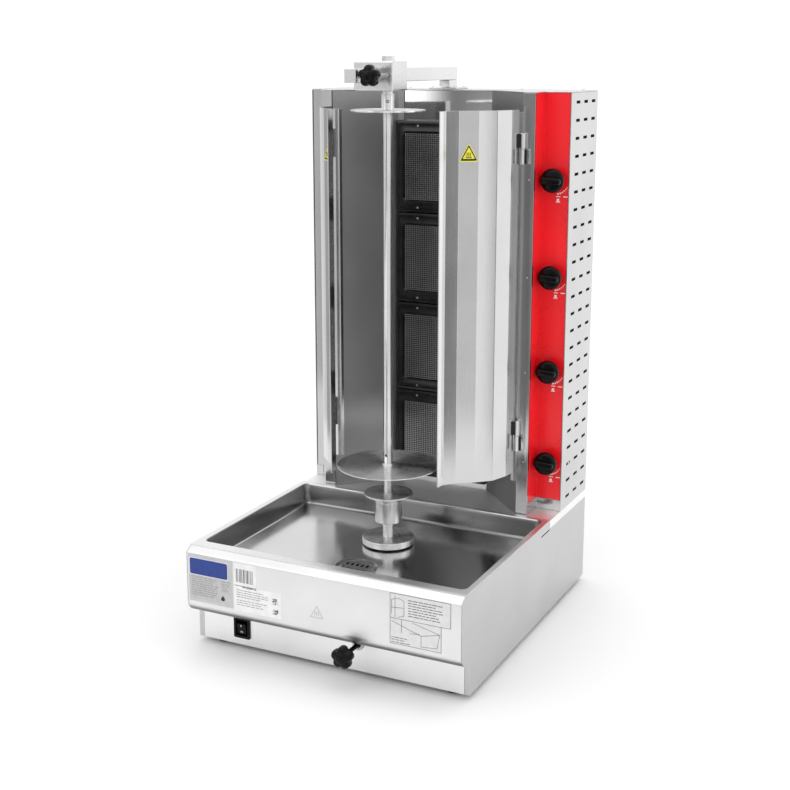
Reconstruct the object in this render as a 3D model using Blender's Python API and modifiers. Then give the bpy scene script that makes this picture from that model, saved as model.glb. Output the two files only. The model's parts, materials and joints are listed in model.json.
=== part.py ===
"""Rotisserie oven: a free-standing vertical gas grill with four burners.

Metres, +Z up, front towards -Y. The object stands on Z = 0, centred on X = 0 and Y = 0.
"""

import math

import bpy
from mathutils import Matrix, Vector

# Driving dimensions
WIDTH = 0.540
FRONT = -0.3075  # the face of the tray's apron
SHEET = 0.0015
GAP = 0.0003
FOOT_HEIGHT = 0.010

BODY_FRONT = FRONT + 0.035
REAR = FRONT + 0.629
SIDE_TOP = 0.194
SKIRT_HEIGHT = 0.016
DECK_FRONT = FRONT + 0.418

TOWER_FRONT = FRONT + 0.478
TOWER_TOP = 0.992
POST_FRONT = FRONT + 0.425
POST_INNER = 0.197
POST_OUTER = 0.219
RECESS_BACK = FRONT + 0.525
RECESS_HALF = 0.103
PLINTH_TOP = 0.216

TRAY_FLOOR = 0.155
TRAY_RIM_TOP = 0.1955
APRON_BOTTOM = 0.0915

SPIT_Y = FRONT + 0.272
SPIT_RADIUS = 0.009
CARRIAGE_TRAVEL = 0.020

BURNERS = 4
BURNER_PITCH = 0.180
TOP_BURNER_Z = 0.843
TOP_KNOB_Z = 0.832
KNOB_X = 0.2426

HALF = WIDTH / 2
WALL = HALF - SHEET  # the inner face of the outer walls

for old in list(bpy.data.objects):
    bpy.data.objects.remove(old, do_unlink=True)


def new_collection(name):
    made = bpy.data.collections.new(name)
    bpy.context.scene.collection.children.link(made)
    return made


parts = new_collection("rotisserie_oven")
cutters = new_collection("cutters")
cutters.hide_render = True


def new_material(name, colour, roughness, metallic):
    made = bpy.data.materials.new(name)
    made.use_nodes = True
    shader = made.node_tree.nodes["Principled BSDF"]
    shader.inputs["Base Color"].default_value = (*colour, 1)
    shader.inputs["Roughness"].default_value = roughness
    shader.inputs["Metallic"].default_value = metallic
    return made


STEEL = new_material("brushed steel", (0.62, 0.62, 0.62), 0.30, 1.0)
POLISHED = new_material("polished steel", (0.70, 0.70, 0.70), 0.12, 1.0)
RED = new_material("red film", (0.85, 0.02, 0.03), 0.35, 0.0)
BLACK = new_material("black plastic", (0.015, 0.015, 0.015), 0.40, 0.0)
RUBBER = new_material("black rubber", (0.02, 0.02, 0.02), 0.80, 0.0)
IRON = new_material("black enamel", (0.03, 0.03, 0.03), 0.45, 0.6)
CERAMIC = new_material("burner ceramic", (0.75, 0.72, 0.66), 0.90, 0.0)
ZINC = new_material("zinc plated steel", (0.55, 0.55, 0.53), 0.45, 1.0)
BRASS = new_material("brass", (0.70, 0.50, 0.20), 0.35, 1.0)
CASTING = new_material("grey casting", (0.35, 0.36, 0.38), 0.55, 0.4)


# Building blocks


def place_in(obj, collection):
    for holder in list(obj.users_collection):
        holder.objects.unlink(obj)
    collection.objects.link(obj)
    return obj


def as_cutter(obj):
    place_in(obj, cutters)
    obj.hide_render = True
    obj.display_type = "WIRE"
    return obj


def finish(obj, name, material):
    obj.name = name
    obj.data.name = name
    obj.data.materials.clear()
    obj.data.materials.append(material)
    return place_in(obj, parts)


def box(low, high):
    low, high = Vector(low), Vector(high)
    bpy.ops.mesh.primitive_cube_add(size=1)
    obj = bpy.context.object
    obj.data.transform(Matrix.Diagonal((*(high - low), 1)))
    obj.data.transform(Matrix.Translation((low + high) / 2))
    return obj


def turn_to(axis):
    return Vector((0, 0, 1)).rotation_difference(Vector(axis)).to_matrix().to_4x4()


def rod(start, end, radius, sides=16):
    start, end = Vector(start), Vector(end)
    bpy.ops.mesh.primitive_cylinder_add(vertices=sides, radius=radius, depth=(end - start).length)
    obj = bpy.context.object
    obj.data.transform(turn_to(end - start))
    obj.data.transform(Matrix.Translation((start + end) / 2))
    return obj


def as_mesh(obj):
    """The mesh that a curve makes, as an object of its own."""
    evaluated = obj.evaluated_get(bpy.context.evaluated_depsgraph_get())
    mesh = bpy.data.meshes.new_from_object(evaluated)
    bpy.data.objects.remove(obj, do_unlink=True)
    made = bpy.data.objects.new("mesh", mesh)
    bpy.context.scene.collection.objects.link(made)
    bpy.context.view_layer.objects.active = made
    bpy.ops.object.select_all(action="DESELECT")
    made.select_set(True)
    bpy.ops.object.mode_set(mode="EDIT")
    bpy.ops.mesh.select_all(action="SELECT")
    bpy.ops.mesh.remove_doubles(threshold=1e-6)
    bpy.ops.mesh.normals_make_consistent(inside=False)
    bpy.ops.object.mode_set(mode="OBJECT")
    return made


def slab(outline, thickness, holes=()):
    """A flat outline in X and Y, filled, from Z = 0 up to its thickness."""
    curve = bpy.data.curves.new("outline", "CURVE")
    curve.dimensions = "2D"
    curve.fill_mode = "BOTH"
    curve.extrude = thickness / 2
    for points in (outline, *holes):
        spline = curve.splines.new("POLY")
        spline.points.add(len(points) - 1)
        for point, (x, y) in zip(spline.points, points):
            point.co = (x, y, 0, 1)
        spline.use_cyclic_u = True
    obj = bpy.data.objects.new("outline", curve)
    bpy.context.scene.collection.objects.link(obj)
    bpy.context.view_layer.update()
    made = as_mesh(obj)
    made.data.transform(Matrix.Translation((0, 0, thickness / 2)))
    return made


def thick_line(points, thickness):
    """The closed outline of a folded sheet whose middle runs through the points."""
    points = [Vector(p) for p in points]
    sides = ([], [])
    for i, point in enumerate(points):
        before = (point - points[i - 1]).normalized() if i else None
        after = (points[i + 1] - point).normalized() if i + 1 < len(points) else None
        along = ((before or after) + (after or before)).normalized()
        across = Vector((-along.y, along.x))
        straight = Vector((-(before or after).y, (before or after).x))
        reach = thickness / 2 / across.dot(straight)
        sides[0].append(tuple(point + across * reach))
        sides[1].append(tuple(point - across * reach))
    return sides[0] + sides[1][::-1]


def standing_sheet(points, low, high, thickness=SHEET):
    """A sheet folded along vertical lines: the points are its plan."""
    obj = slab(thick_line(points, thickness), high - low)
    obj.data.transform(Matrix.Translation((0, 0, low)))
    return obj


# A slab drawn in X and Y stands up with its X along world Y and its Y along world Z.
SIDEWAYS = Matrix(((0, 0, 1, 0), (1, 0, 0, 0), (0, 1, 0, 0), (0, 0, 0, 1)))


def side_slab(outline, left, right, holes=()):
    """A slab drawn in Y and Z, from one X to another."""
    obj = slab(outline, right - left, holes)
    obj.data.transform(SIDEWAYS)
    obj.data.transform(Matrix.Translation((left, 0, 0)))
    return obj


def turned(profile, centre=(0, 0, 0), sides=32):
    """A solid of revolution about Z. The profile's (radius, height) points run down its outer side."""
    mesh = bpy.data.meshes.new("profile")
    mesh.from_pydata([(r, 0, z) for r, z in profile], [(i, i + 1) for i in range(len(profile) - 1)], [])
    obj = bpy.data.objects.new("profile", mesh)
    bpy.context.scene.collection.objects.link(obj)
    screw = obj.modifiers.new("turn", "SCREW")
    screw.steps = sides
    screw.render_steps = sides
    screw.use_merge_vertices = True
    screw.merge_threshold = 0.0001
    bpy.context.view_layer.update()
    made = as_mesh(obj)
    made.data.transform(Matrix.Translation(centre))
    return made


def combine(target, others, operation):
    for other in others:
        as_cutter(other)
        modifier = target.modifiers.new(operation.lower(), "BOOLEAN")
        modifier.operation = operation
        modifier.solver = "EXACT"
        modifier.object = other
    return target


def union(target, *others):
    return combine(target, others, "UNION")


def cut(target, *others):
    return combine(target, others, "DIFFERENCE")


def soften(obj, width, segments=2):
    bevel = obj.modifiers.new("soften", "BEVEL")
    bevel.width = width
    bevel.segments = segments
    bevel.limit_method = "ANGLE"
    bevel.angle_limit = math.radians(40)
    return obj


def origin_at(obj, point):
    """Moves the object's origin to a point on its joint's axis and leaves the shape where it is."""
    obj.data.transform(Matrix.Translation(-Vector(point)))
    obj.location = point
    return obj


def arc(centre, radius, start, end, steps):
    """Points along an arc, its angles in degrees."""
    turns = [math.radians(start + (end - start) * i / steps) for i in range(steps + 1)]
    return [(centre[0] + radius * math.cos(t), centre[1] + radius * math.sin(t)) for t in turns]


def rounded_rectangle(low, high, radius, steps=3):
    (x0, y0), (x1, y1) = low, high
    corners = ((x1 - radius, y1 - radius, 0), (x0 + radius, y1 - radius, 90),
               (x0 + radius, y0 + radius, 180), (x1 - radius, y0 + radius, 270))
    return [p for x, y, turn in corners for p in arc((x, y), radius, turn, turn + 90, steps)]


def mirrored(points):
    return [(-x, y) for x, y in points]


def each_burner(top):
    return [top - BURNER_PITCH * i for i in range(BURNERS)]


# Base


def base_floor():
    obj = box((-WALL + GAP, BODY_FRONT + SHEET + GAP, FOOT_HEIGHT),
              (WALL - GAP, REAR - SHEET - GAP, FOOT_HEIGHT + SHEET))
    finish(obj, "base_floor", ZINC)


APRON_CURVE = 0.022  # radius of the roll under the apron
NOSE_TOP = 0.185  # where the apron's face meets its slope
SLOPE_BACK = FRONT + 0.014


def nose_outline():
    """The front edge of a base side, from the panel's front up round the apron's end."""
    roll = arc((FRONT + APRON_CURVE, APRON_BOTTOM), APRON_CURVE, 270, 180, 4)
    return [(BODY_FRONT, APRON_BOTTOM - APRON_CURVE), *roll, (FRONT, NOSE_TOP), (SLOPE_BACK, SIDE_TOP)]


def base_side(name, side):
    seam = SIDE_TOP - SKIRT_HEIGHT
    outline = [(BODY_FRONT, FOOT_HEIGHT), *nose_outline(), (DECK_FRONT - GAP, SIDE_TOP),
               (DECK_FRONT - GAP, seam - GAP), (REAR, seam - GAP), (REAR, FOOT_HEIGHT)]
    slit = [(FRONT + 0.372, seam - 0.0022), (FRONT + 0.416, seam - 0.0022),
            (FRONT + 0.416, seam), (FRONT + 0.372, seam)]
    plate = side_slab(outline, WALL, HALF, [slit])
    flange = box((HALF - 0.010, BODY_FRONT, FOOT_HEIGHT), (WALL + 0.0005, BODY_FRONT + SHEET, 0.068))
    shelf = box((HALF - 0.0105, SLOPE_BACK + 0.030, SIDE_TOP - 0.0025),
                (WALL + 0.0005, DECK_FRONT - 0.002, SIDE_TOP - 0.001))
    for piece in (plate, flange, shelf):
        if side < 0:
            piece.data.transform(Matrix.Scale(-1, 4, (1, 0, 0)))
            piece.data.flip_normals()
    finish(union(plate, flange, shelf), name, STEEL)


PANEL_TOP = APRON_BOTTOM - APRON_CURVE - GAP
LOCK_X = 0.060
LOCK_Z = 0.060
SWITCH_X = -0.1775
SWITCH_Z = 0.043
SWITCH_WIDTH = 0.034
SWITCH_HEIGHT = 0.040


def base_front_panel():
    reach = HALF - 0.010 - GAP
    obj = box((-reach, BODY_FRONT, FOOT_HEIGHT), (reach, BODY_FRONT + SHEET, PANEL_TOP))
    through = 0.01
    slot = rod((LOCK_X, BODY_FRONT - through, LOCK_Z), (LOCK_X, BODY_FRONT + through, LOCK_Z), 0.006)
    half_width, half_height = SWITCH_WIDTH / 2 - 0.003, SWITCH_HEIGHT / 2 - 0.003
    window = box((SWITCH_X - half_width, BODY_FRONT - through, SWITCH_Z - half_height),
                 (SWITCH_X + half_width, BODY_FRONT + through, SWITCH_Z + half_height))
    finish(cut(obj, slot, window), "base_front_panel", STEEL)


def base_back_panel():
    obj = box((-WALL + GAP, REAR - SHEET, FOOT_HEIGHT), (WALL - GAP, REAR, SIDE_TOP - SKIRT_HEIGHT - GAP))
    finish(obj, "base_back_panel", STEEL)


def rear_deck():
    bottom = SIDE_TOP - SKIRT_HEIGHT
    top = box((-HALF, DECK_FRONT, SIDE_TOP - SHEET), (HALF, REAR, SIDE_TOP))
    left = box((-HALF, DECK_FRONT, bottom), (-WALL, REAR, SIDE_TOP - 0.0005))
    right = box((WALL, DECK_FRONT, bottom), (HALF, REAR, SIDE_TOP - 0.0005))
    back = box((-WALL - 0.0005, REAR - SHEET, bottom), (WALL + 0.0005, REAR, SIDE_TOP - 0.0005))
    finish(union(top, left, right, back), "rear_deck", STEEL)


def foot(name, x, y):
    profile = [(0, FOOT_HEIGHT - GAP), (0.017, FOOT_HEIGHT - GAP), (0.015, 0), (0, 0)]
    finish(turned(profile, (x, y, 0), 20), name, RUBBER)


def feet():
    inset_x, front_y, rear_y = 0.230, BODY_FRONT + 0.028, REAR - 0.045
    for side, x in (("left", -inset_x), ("right", inset_x)):
        foot(f"foot_front_{side}", x, front_y)
        foot(f"foot_rear_{side}", x, rear_y)


# Drip tray

TRAY_OPENING = 0.257
TRAY_OPEN_FRONT = FRONT + 0.039
TRAY_OPEN_REAR = FRONT + 0.408
TRAY_WALL_LEAN = 0.006
DRAIN_X = 0.002
DRAIN_Y = FRONT + 0.133
DRAIN_RADIUS = 0.041
SLOT_HALF_WIDTH = 0.012


def loft(rings, height_of):
    """A closed skin through rings of equal length, capped at both ends."""
    verts = [(x, y, z) for ring, z in zip(rings, height_of) for x, y in ring]
    count = len(rings[0])
    faces = [tuple(range(count))[::-1], tuple(range(len(verts) - count, len(verts)))]
    for level in range(len(rings) - 1):
        for i in range(count):
            j = (i + 1) % count
            low, high = level * count, (level + 1) * count
            faces.append((low + i, low + j, high + j, high + i))
    mesh = bpy.data.meshes.new("loft")
    mesh.from_pydata(verts, [], faces)
    obj = bpy.data.objects.new("loft", mesh)
    bpy.context.scene.collection.objects.link(obj)
    return obj


def tray_ring(grow, radius):
    return rounded_rectangle((-TRAY_OPENING - grow, TRAY_OPEN_FRONT - grow),
                             (TRAY_OPENING + grow, TRAY_OPEN_REAR + grow), radius)


def tray_pan():
    """The pan below the rim: an open box with leaning walls."""
    lean = TRAY_WALL_LEAN
    outer = loft([tray_ring(SHEET - lean, 0.010), tray_ring(SHEET, 0.010)],
                 [TRAY_FLOOR - SHEET, TRAY_RIM_TOP - SHEET / 2])
    inner = loft([tray_ring(-lean, 0.010), tray_ring(0, 0.010)], [TRAY_FLOOR, TRAY_RIM_TOP + 0.004])
    return outer, inner


def drip_tray():
    rim_bottom = TRAY_RIM_TOP - SHEET
    rim = slab([(-HALF, SLOPE_BACK), (HALF, SLOPE_BACK),
                (HALF, DECK_FRONT - GAP), (-HALF, DECK_FRONT - GAP)], SHEET - GAP)
    rim.data.transform(Matrix.Translation((0, 0, rim_bottom + GAP)))
    outer, inner = tray_pan()
    inside = WALL - GAP
    roll = arc((FRONT + APRON_CURVE, APRON_BOTTOM), APRON_CURVE - SHEET / 2, 180, 268, 4)
    fold = [(SLOPE_BACK + 0.004, rim_bottom + SHEET * 0.7), (FRONT + SHEET / 2, NOSE_TOP), *roll]
    apron = side_slab(thick_line(fold, SHEET), -inside, inside)
    drain = rod((DRAIN_X, DRAIN_Y, TRAY_FLOOR - 0.01), (DRAIN_X, DRAIN_Y, TRAY_FLOOR + 0.01),
                DRAIN_RADIUS - 0.004, 24)
    reach = CARRIAGE_TRAVEL + 0.003
    slot = box((-SLOT_HALF_WIDTH, SPIT_Y - reach - SLOT_HALF_WIDTH, TRAY_FLOOR - 0.01),
               (SLOT_HALF_WIDTH, SPIT_Y + reach + SLOT_HALF_WIDTH, TRAY_FLOOR + 0.01))
    finish(cut(union(rim, outer, apron), inner, drain, slot), "drip_tray", POLISHED)


def drain_grate():
    """A round cover with two rows of slots."""
    low = TRAY_FLOOR + GAP
    grate = rod((DRAIN_X, DRAIN_Y, low), (DRAIN_X, DRAIN_Y, low + 0.002), DRAIN_RADIUS, 36)
    slots = []
    for row in (-1, 1):
        for i in range(5):
            x, y = DRAIN_X + 0.010 * (i - 2), DRAIN_Y + 0.013 * row
            slots.append(box((x - 0.002, y - 0.008, low - 0.005), (x + 0.002, y + 0.008, low + 0.005)))
    finish(cut(grate, *slots), "drain_grate", POLISHED)


# Power switch


def switch_bezel():
    x0, x1 = SWITCH_X - SWITCH_WIDTH / 2, SWITCH_X + SWITCH_WIDTH / 2
    z0, z1 = SWITCH_Z - SWITCH_HEIGHT / 2, SWITCH_Z + SWITCH_HEIGHT / 2
    front = BODY_FRONT - GAP
    lip = box((x0, front - 0.003, z0), (x1, front, z1))
    body = box((x0 + 0.0035, front - 0.001, z0 + 0.0035), (x1 - 0.0035, front + 0.022, z1 - 0.0035))
    pocket = box((x0 + 0.006, front - 0.005, z0 + 0.006), (x1 - 0.006, front + 0.016, z1 - 0.006))
    finish(cut(union(lip, body), pocket), "switch_bezel", BLACK)


ROCKER_Y = BODY_FRONT + 0.006


ROCKER_TILT = 8


def switch_rocker():
    """The rocker, pressed in at its lower end."""
    half = SWITCH_WIDTH / 2 - 0.0075
    outline = [(-0.0097, 0.0105), (-0.0085, 0), (-0.0097, -0.0105),
               (0.003, -0.0095), (0.006, 0), (0.003, 0.0095)]
    obj = side_slab(outline, -half, half)
    obj.data.transform(Matrix.Rotation(math.radians(ROCKER_TILT), 4, "X"))
    obj.data.transform(Matrix.Translation((SWITCH_X, ROCKER_Y, SWITCH_Z)))
    finish(origin_at(obj, (SWITCH_X, ROCKER_Y, SWITCH_Z)), "switch_rocker", BLACK)


# Spit carriage, under the tray

CARRIAGE_BOTTOM = FOOT_HEIGHT + SHEET + GAP
CARRIAGE_PLATE = 0.004
GEARBOX_TOP = 0.118


def carriage_plate():
    low, high = CARRIAGE_BOTTOM, CARRIAGE_BOTTOM + CARRIAGE_PLATE
    plate = box((-0.075, SPIT_Y - 0.085, low), (0.085, SPIT_Y + 0.085, high))
    lug = box((LOCK_X - 0.012, SPIT_Y - 0.085, low + 0.001), (LOCK_X + 0.012, SPIT_Y - 0.075, LOCK_Z + 0.014))
    hole = rod((LOCK_X, SPIT_Y - 0.090, LOCK_Z), (LOCK_X, SPIT_Y - 0.070, LOCK_Z), 0.004 + GAP)
    finish(cut(union(plate, lug), hole), "carriage_plate", ZINC)


def gearbox():
    low = CARRIAGE_BOTTOM + CARRIAGE_PLATE + GAP
    case = box((-0.050, SPIT_Y - 0.045, low), (0.040, SPIT_Y + 0.045, GEARBOX_TOP))
    bore = rod((0, SPIT_Y, GEARBOX_TOP - 0.030), (0, SPIT_Y, GEARBOX_TOP + 0.010), 0.0085, 20)
    finish(cut(soften(case, 0.004), bore), "gearbox", CASTING)


def motor():
    low, high = SPIT_Y + 0.045 + GAP, SPIT_Y + 0.100
    centre_z = 0.070
    can = rod((0, low, centre_z), (0, high, centre_z), 0.032, 28)
    cap = rod((0, high - 0.001, centre_z), (0, high + 0.008, centre_z), 0.016, 20)
    finish(union(can, cap), "drive_motor", ZINC)


KNOB_BACK_Y = FRONT - 0.014
STAR_DEPTH = 0.018
STAR_RADIUS = 0.0205


def lock_rod():
    obj = rod((LOCK_X, KNOB_BACK_Y + 0.012, LOCK_Z), (LOCK_X, SPIT_Y - 0.065, LOCK_Z), 0.004)
    finish(obj, "lock_rod", ZINC)


def star_outline(radius, lobes, steps):
    """A star grip's edge: round lobes with shallow hollows between them."""
    count = lobes * steps
    points = []
    for i in range(count):
        turn = math.tau * i / count
        swell = radius * (0.89 + 0.11 * math.cos(lobes * turn))
        points.append((swell * math.sin(turn), swell * math.cos(turn)))
    return points


FACING_FRONT = Matrix.Rotation(math.radians(90), 4, "X")


def star_knob(name, radius, depth, bore_radius, bore_depth, face_centre):
    """A five-lobed grip whose axis runs along Y, drawn from its front face to the back of its hub."""
    hub = 0.010
    grip = slab(star_outline(radius, 5, 8), depth)
    boss = rod((0, 0, -hub), (0, 0, 0.001), radius * 0.45, 16)
    bore = rod((0, 0, -hub - 0.002), (0, 0, bore_depth - hub), bore_radius + GAP, 16)
    for piece in (grip, boss, bore):
        piece.data.transform(FACING_FRONT)
        piece.data.transform(Matrix.Translation(Vector(face_centre) + Vector((0, depth, 0))))
    knob = cut(union(grip, boss), bore)
    return finish(knob, name, BLACK)


def lock_knob():
    face = (LOCK_X, KNOB_BACK_Y - STAR_DEPTH, LOCK_Z)
    star_knob("lock_knob", STAR_RADIUS, STAR_DEPTH, 0.004, 0.020, face)


# Spit

PLATE_THICKNESS = 0.003
LOWER_PLATE_Z = 0.307
LOWER_PLATE_RADIUS = 0.095
UPPER_PLATE_Z = 0.9595
UPPER_PLATE_RADIUS = 0.067
FLANGE_RADIUS = 0.049
FLANGE_BOTTOM = TRAY_FLOOR + 0.003
FLANGE_TOP = FLANGE_BOTTOM + 0.012
CUP_BOTTOM = 0.200
CUP_TOP = 0.248
NECK_RADIUS = 0.0105
NECK_TOP = CUP_BOTTOM + 0.012
CAP_BOTTOM = 0.2525
CAP_RADIUS = 0.046
SHAFT_BOTTOM = NECK_TOP + 0.004
SHAFT_TOP = 1.007


def on_spit(profile, sides=32):
    return turned(profile, (0, SPIT_Y, 0), sides)


def drive_flange():
    """The driven disc on the tray, its neck, and the stub that goes down into the gearbox."""
    profile = [(0, NECK_TOP), (NECK_RADIUS, NECK_TOP), (NECK_RADIUS, FLANGE_TOP),
               (FLANGE_RADIUS - 0.001, FLANGE_TOP), (FLANGE_RADIUS, FLANGE_TOP - 0.001),
               (FLANGE_RADIUS, FLANGE_BOTTOM), (0.008, FLANGE_BOTTOM),
               (0.008, GEARBOX_TOP - 0.025), (0, GEARBOX_TOP - 0.025)]
    finish(on_spit(profile, 40), "drive_flange", POLISHED)


def coupling_cup():
    """Grips the neck from below and takes the spit from above."""
    outer = 0.0255
    profile = [(SPIT_RADIUS + GAP, CUP_TOP), (outer - 0.001, CUP_TOP), (outer, CUP_TOP - 0.001),
               (outer, CUP_BOTTOM), (NECK_RADIUS + GAP, CUP_BOTTOM), (NECK_RADIUS + GAP, NECK_TOP + GAP),
               (SPIT_RADIUS + GAP, NECK_TOP + GAP), (SPIT_RADIUS + GAP, CUP_TOP)]
    finish(on_spit(profile), "coupling_cup", POLISHED)


def ring_on_spit(name, low, high, radius):
    inner = SPIT_RADIUS + GAP
    profile = [(inner, high), (radius, high), (radius, low), (inner, low), (inner, high)]
    finish(on_spit(profile, 40), name, POLISHED)


def drip_cap():
    ring_on_spit("drip_cap", CAP_BOTTOM, CAP_BOTTOM + PLATE_THICKNESS, CAP_RADIUS)


def lower_meat_plate():
    inner, hub = SPIT_RADIUS + GAP, 0.012
    top, radius = LOWER_PLATE_Z + PLATE_THICKNESS, LOWER_PLATE_RADIUS
    profile = [(inner, top + 0.004), (hub, top + 0.004), (hub, top), (radius, top),
               (radius, LOWER_PLATE_Z), (inner, LOWER_PLATE_Z), (inner, top + 0.004)]
    finish(on_spit(profile, 48), "lower_meat_plate", POLISHED)


def upper_meat_plate():
    inner, collar, collar_top = SPIT_RADIUS + GAP, 0.0115, 0.990
    top = UPPER_PLATE_Z + PLATE_THICKNESS
    profile = [(inner, collar_top), (collar, collar_top), (collar, top), (UPPER_PLATE_RADIUS, top),
               (UPPER_PLATE_RADIUS, UPPER_PLATE_Z), (inner, UPPER_PLATE_Z), (inner, collar_top)]
    finish(on_spit(profile, 40), "upper_meat_plate", POLISHED)


def spit_shaft():
    shaft = rod((0, SPIT_Y, SHAFT_BOTTOM), (0, SPIT_Y, SHAFT_TOP), SPIT_RADIUS, 24)
    pin_z = LOWER_PLATE_Z + 0.022
    hole = rod((0, SPIT_Y - 0.02, pin_z), (0, SPIT_Y + 0.02, pin_z), 0.0025, 10)
    finish(cut(shaft, hole), "spit_shaft", POLISHED)


# Top bar and clamp

BAR_LEFT = -0.024
BAR_RIGHT = -0.002
BAR_BOTTOM = 1.010
BAR_TOP = 1.034
BAR_FRONT = FRONT + 0.155
BAR_REAR = FRONT + 0.582
BAR_WALL = 0.002
CLAMP_KNOB_X = 0.0185
CLAMP_KNOB_Z = 1.022
BLOCK_FRONT = FRONT + 0.234


def top_bar():
    outer = box((BAR_LEFT, BAR_FRONT, BAR_BOTTOM), (BAR_RIGHT, BAR_REAR, BAR_TOP))
    bore = box((BAR_LEFT + BAR_WALL, BAR_FRONT + BAR_WALL, BAR_BOTTOM + BAR_WALL),
               (BAR_RIGHT - BAR_WALL, BAR_REAR + 0.01, BAR_TOP - BAR_WALL))
    finish(cut(outer, bore), "top_bar", STEEL)


def bar_bracket():
    """The post that carries the bar on the tower's top."""
    foot_plate = box((-0.043, FRONT + 0.536, TOWER_TOP + GAP), (0.017, FRONT + 0.592, TOWER_TOP + 0.004))
    post = box((BAR_LEFT, FRONT + 0.544, TOWER_TOP + 0.003), (BAR_RIGHT, FRONT + 0.582, BAR_BOTTOM - GAP))
    finish(union(foot_plate, post), "bar_bracket", STEEL)


def clamp_block():
    block = box((-0.048, BLOCK_FRONT, 0.996), (0.028, FRONT + 0.294, 1.046))
    tunnel = box((BAR_LEFT - GAP, BLOCK_FRONT - 0.01, BAR_BOTTOM - GAP),
                 (BAR_RIGHT + GAP, FRONT + 0.31, BAR_TOP + GAP))
    socket = rod((0, SPIT_Y, 0.990), (0, SPIT_Y, SHAFT_TOP + 0.001), SPIT_RADIUS + 0.0008, 24)
    stud = rod((CLAMP_KNOB_X, BLOCK_FRONT - 0.01, CLAMP_KNOB_Z),
               (CLAMP_KNOB_X, BLOCK_FRONT + 0.020, CLAMP_KNOB_Z), 0.004 + GAP)
    nut = rod((0.004, SPIT_Y - 0.006, 1.045), (0.004, SPIT_Y - 0.006, 1.055), 0.0115, 6)
    finish(union(cut(soften(block, 0.0015, 1), tunnel, socket, stud), nut), "clamp_block", POLISHED)


CLAMP_FACE_Y = FRONT + 0.156


def clamp_stud():
    obj = rod((CLAMP_KNOB_X, CLAMP_FACE_Y + 0.014, CLAMP_KNOB_Z),
              (CLAMP_KNOB_X, BLOCK_FRONT + 0.019, CLAMP_KNOB_Z), 0.004)
    finish(obj, "clamp_stud", ZINC)


def clamp_knob():
    face = (CLAMP_KNOB_X, CLAMP_FACE_Y, CLAMP_KNOB_Z)
    star_knob("clamp_knob", 0.0195, STAR_DEPTH, 0.004, 0.020, face)


# Tower

COVER = 0.002
WALL_TOP = TOWER_TOP - COVER - GAP
DECK = SIDE_TOP + GAP
SLOT_ROWS = 24
SLOT_ROW_PITCH = 0.0329
SLOT_LOW_Z = 0.2157
SLOT_COLUMNS = (0.5145, 0.559, 0.6035)
SLOT_LENGTH = 0.0215
SLOT_HEIGHT = 0.0054


def tower_side(name, side):
    def slots():
        for row in range(SLOT_ROWS):
            z = SLOT_LOW_Z + SLOT_ROW_PITCH * row
            for column in SLOT_COLUMNS:
                y = FRONT + column
                yield [(y - SLOT_LENGTH / 2, z - SLOT_HEIGHT / 2), (y + SLOT_LENGTH / 2, z - SLOT_HEIGHT / 2),
                       (y + SLOT_LENGTH / 2, z + SLOT_HEIGHT / 2), (y - SLOT_LENGTH / 2, z + SLOT_HEIGHT / 2)]

    outline = [(TOWER_FRONT - 0.0018, DECK), (REAR, DECK), (REAR, WALL_TOP), (TOWER_FRONT - 0.0018, WALL_TOP)]
    plate = side_slab(outline, WALL, HALF, list(slots()))
    ear = box((HALF - 0.016, TOWER_FRONT - 0.0018, DECK),
              (WALL + 0.0005, TOWER_FRONT - GAP - SHEET / 2, PLINTH_TOP - 0.001))
    for piece in (plate, ear):
        if side < 0:
            piece.data.transform(Matrix.Scale(-1, 4, (1, 0, 0)))
            piece.data.flip_normals()
    finish(union(plate, ear), name, STEEL)


def tower_back():
    obj = box((-WALL + GAP, REAR - SHEET, DECK), (WALL - GAP, REAR, WALL_TOP))
    inlet = rod((INLET_X, REAR - 0.01, INLET_Z), (INLET_X, REAR + 0.01, INLET_Z), 0.012)
    gland = rod((GLAND_X, REAR - 0.01, GLAND_Z), (GLAND_X, REAR + 0.01, GLAND_Z), 0.006)
    finish(cut(obj, inlet, gland), "tower_back", STEEL)


def top_cover():
    half_plan = [(HALF, TOWER_FRONT - 0.0018), (POST_OUTER + SHEET, TOWER_FRONT - 0.0018),
                 (POST_OUTER + SHEET, POST_FRONT - SHEET / 2), (POST_INNER, POST_FRONT - SHEET / 2),
                 (RECESS_HALF, RECESS_BACK)]
    plan = [(HALF, REAR), *half_plan, *mirrored(half_plan)[::-1], (-HALF, REAR)]
    obj = slab(plan, COVER)
    obj.data.transform(Matrix.Translation((0, 0, TOWER_TOP - COVER)))
    finish(obj, "top_cover", STEEL)


def column_left():
    plan = [(-POST_INNER, POST_FRONT), (-POST_OUTER, POST_FRONT), (-POST_OUTER, TOWER_FRONT),
            (-WALL + 0.001, TOWER_FRONT)]
    sheet = standing_sheet(plan, DECK, WALL_TOP)
    finish(union(sheet, *hinge_halves(-1, upper=False)), "column_left", STEEL)


def post_right():
    post = standing_sheet([(POST_INNER, POST_FRONT), (POST_OUTER, POST_FRONT),
                           (POST_OUTER, POST_FRONT + 0.006)],
                          DECK, WALL_TOP)
    plan = [(POST_OUTER, POST_FRONT + 0.004), (POST_OUTER, TOWER_FRONT), (WALL - 0.001, TOWER_FRONT)]
    plinth = standing_sheet(plan, DECK, PLINTH_TOP)
    finish(union(post, plinth, *hinge_halves(1, upper=False)), "post_right", STEEL)


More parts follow.
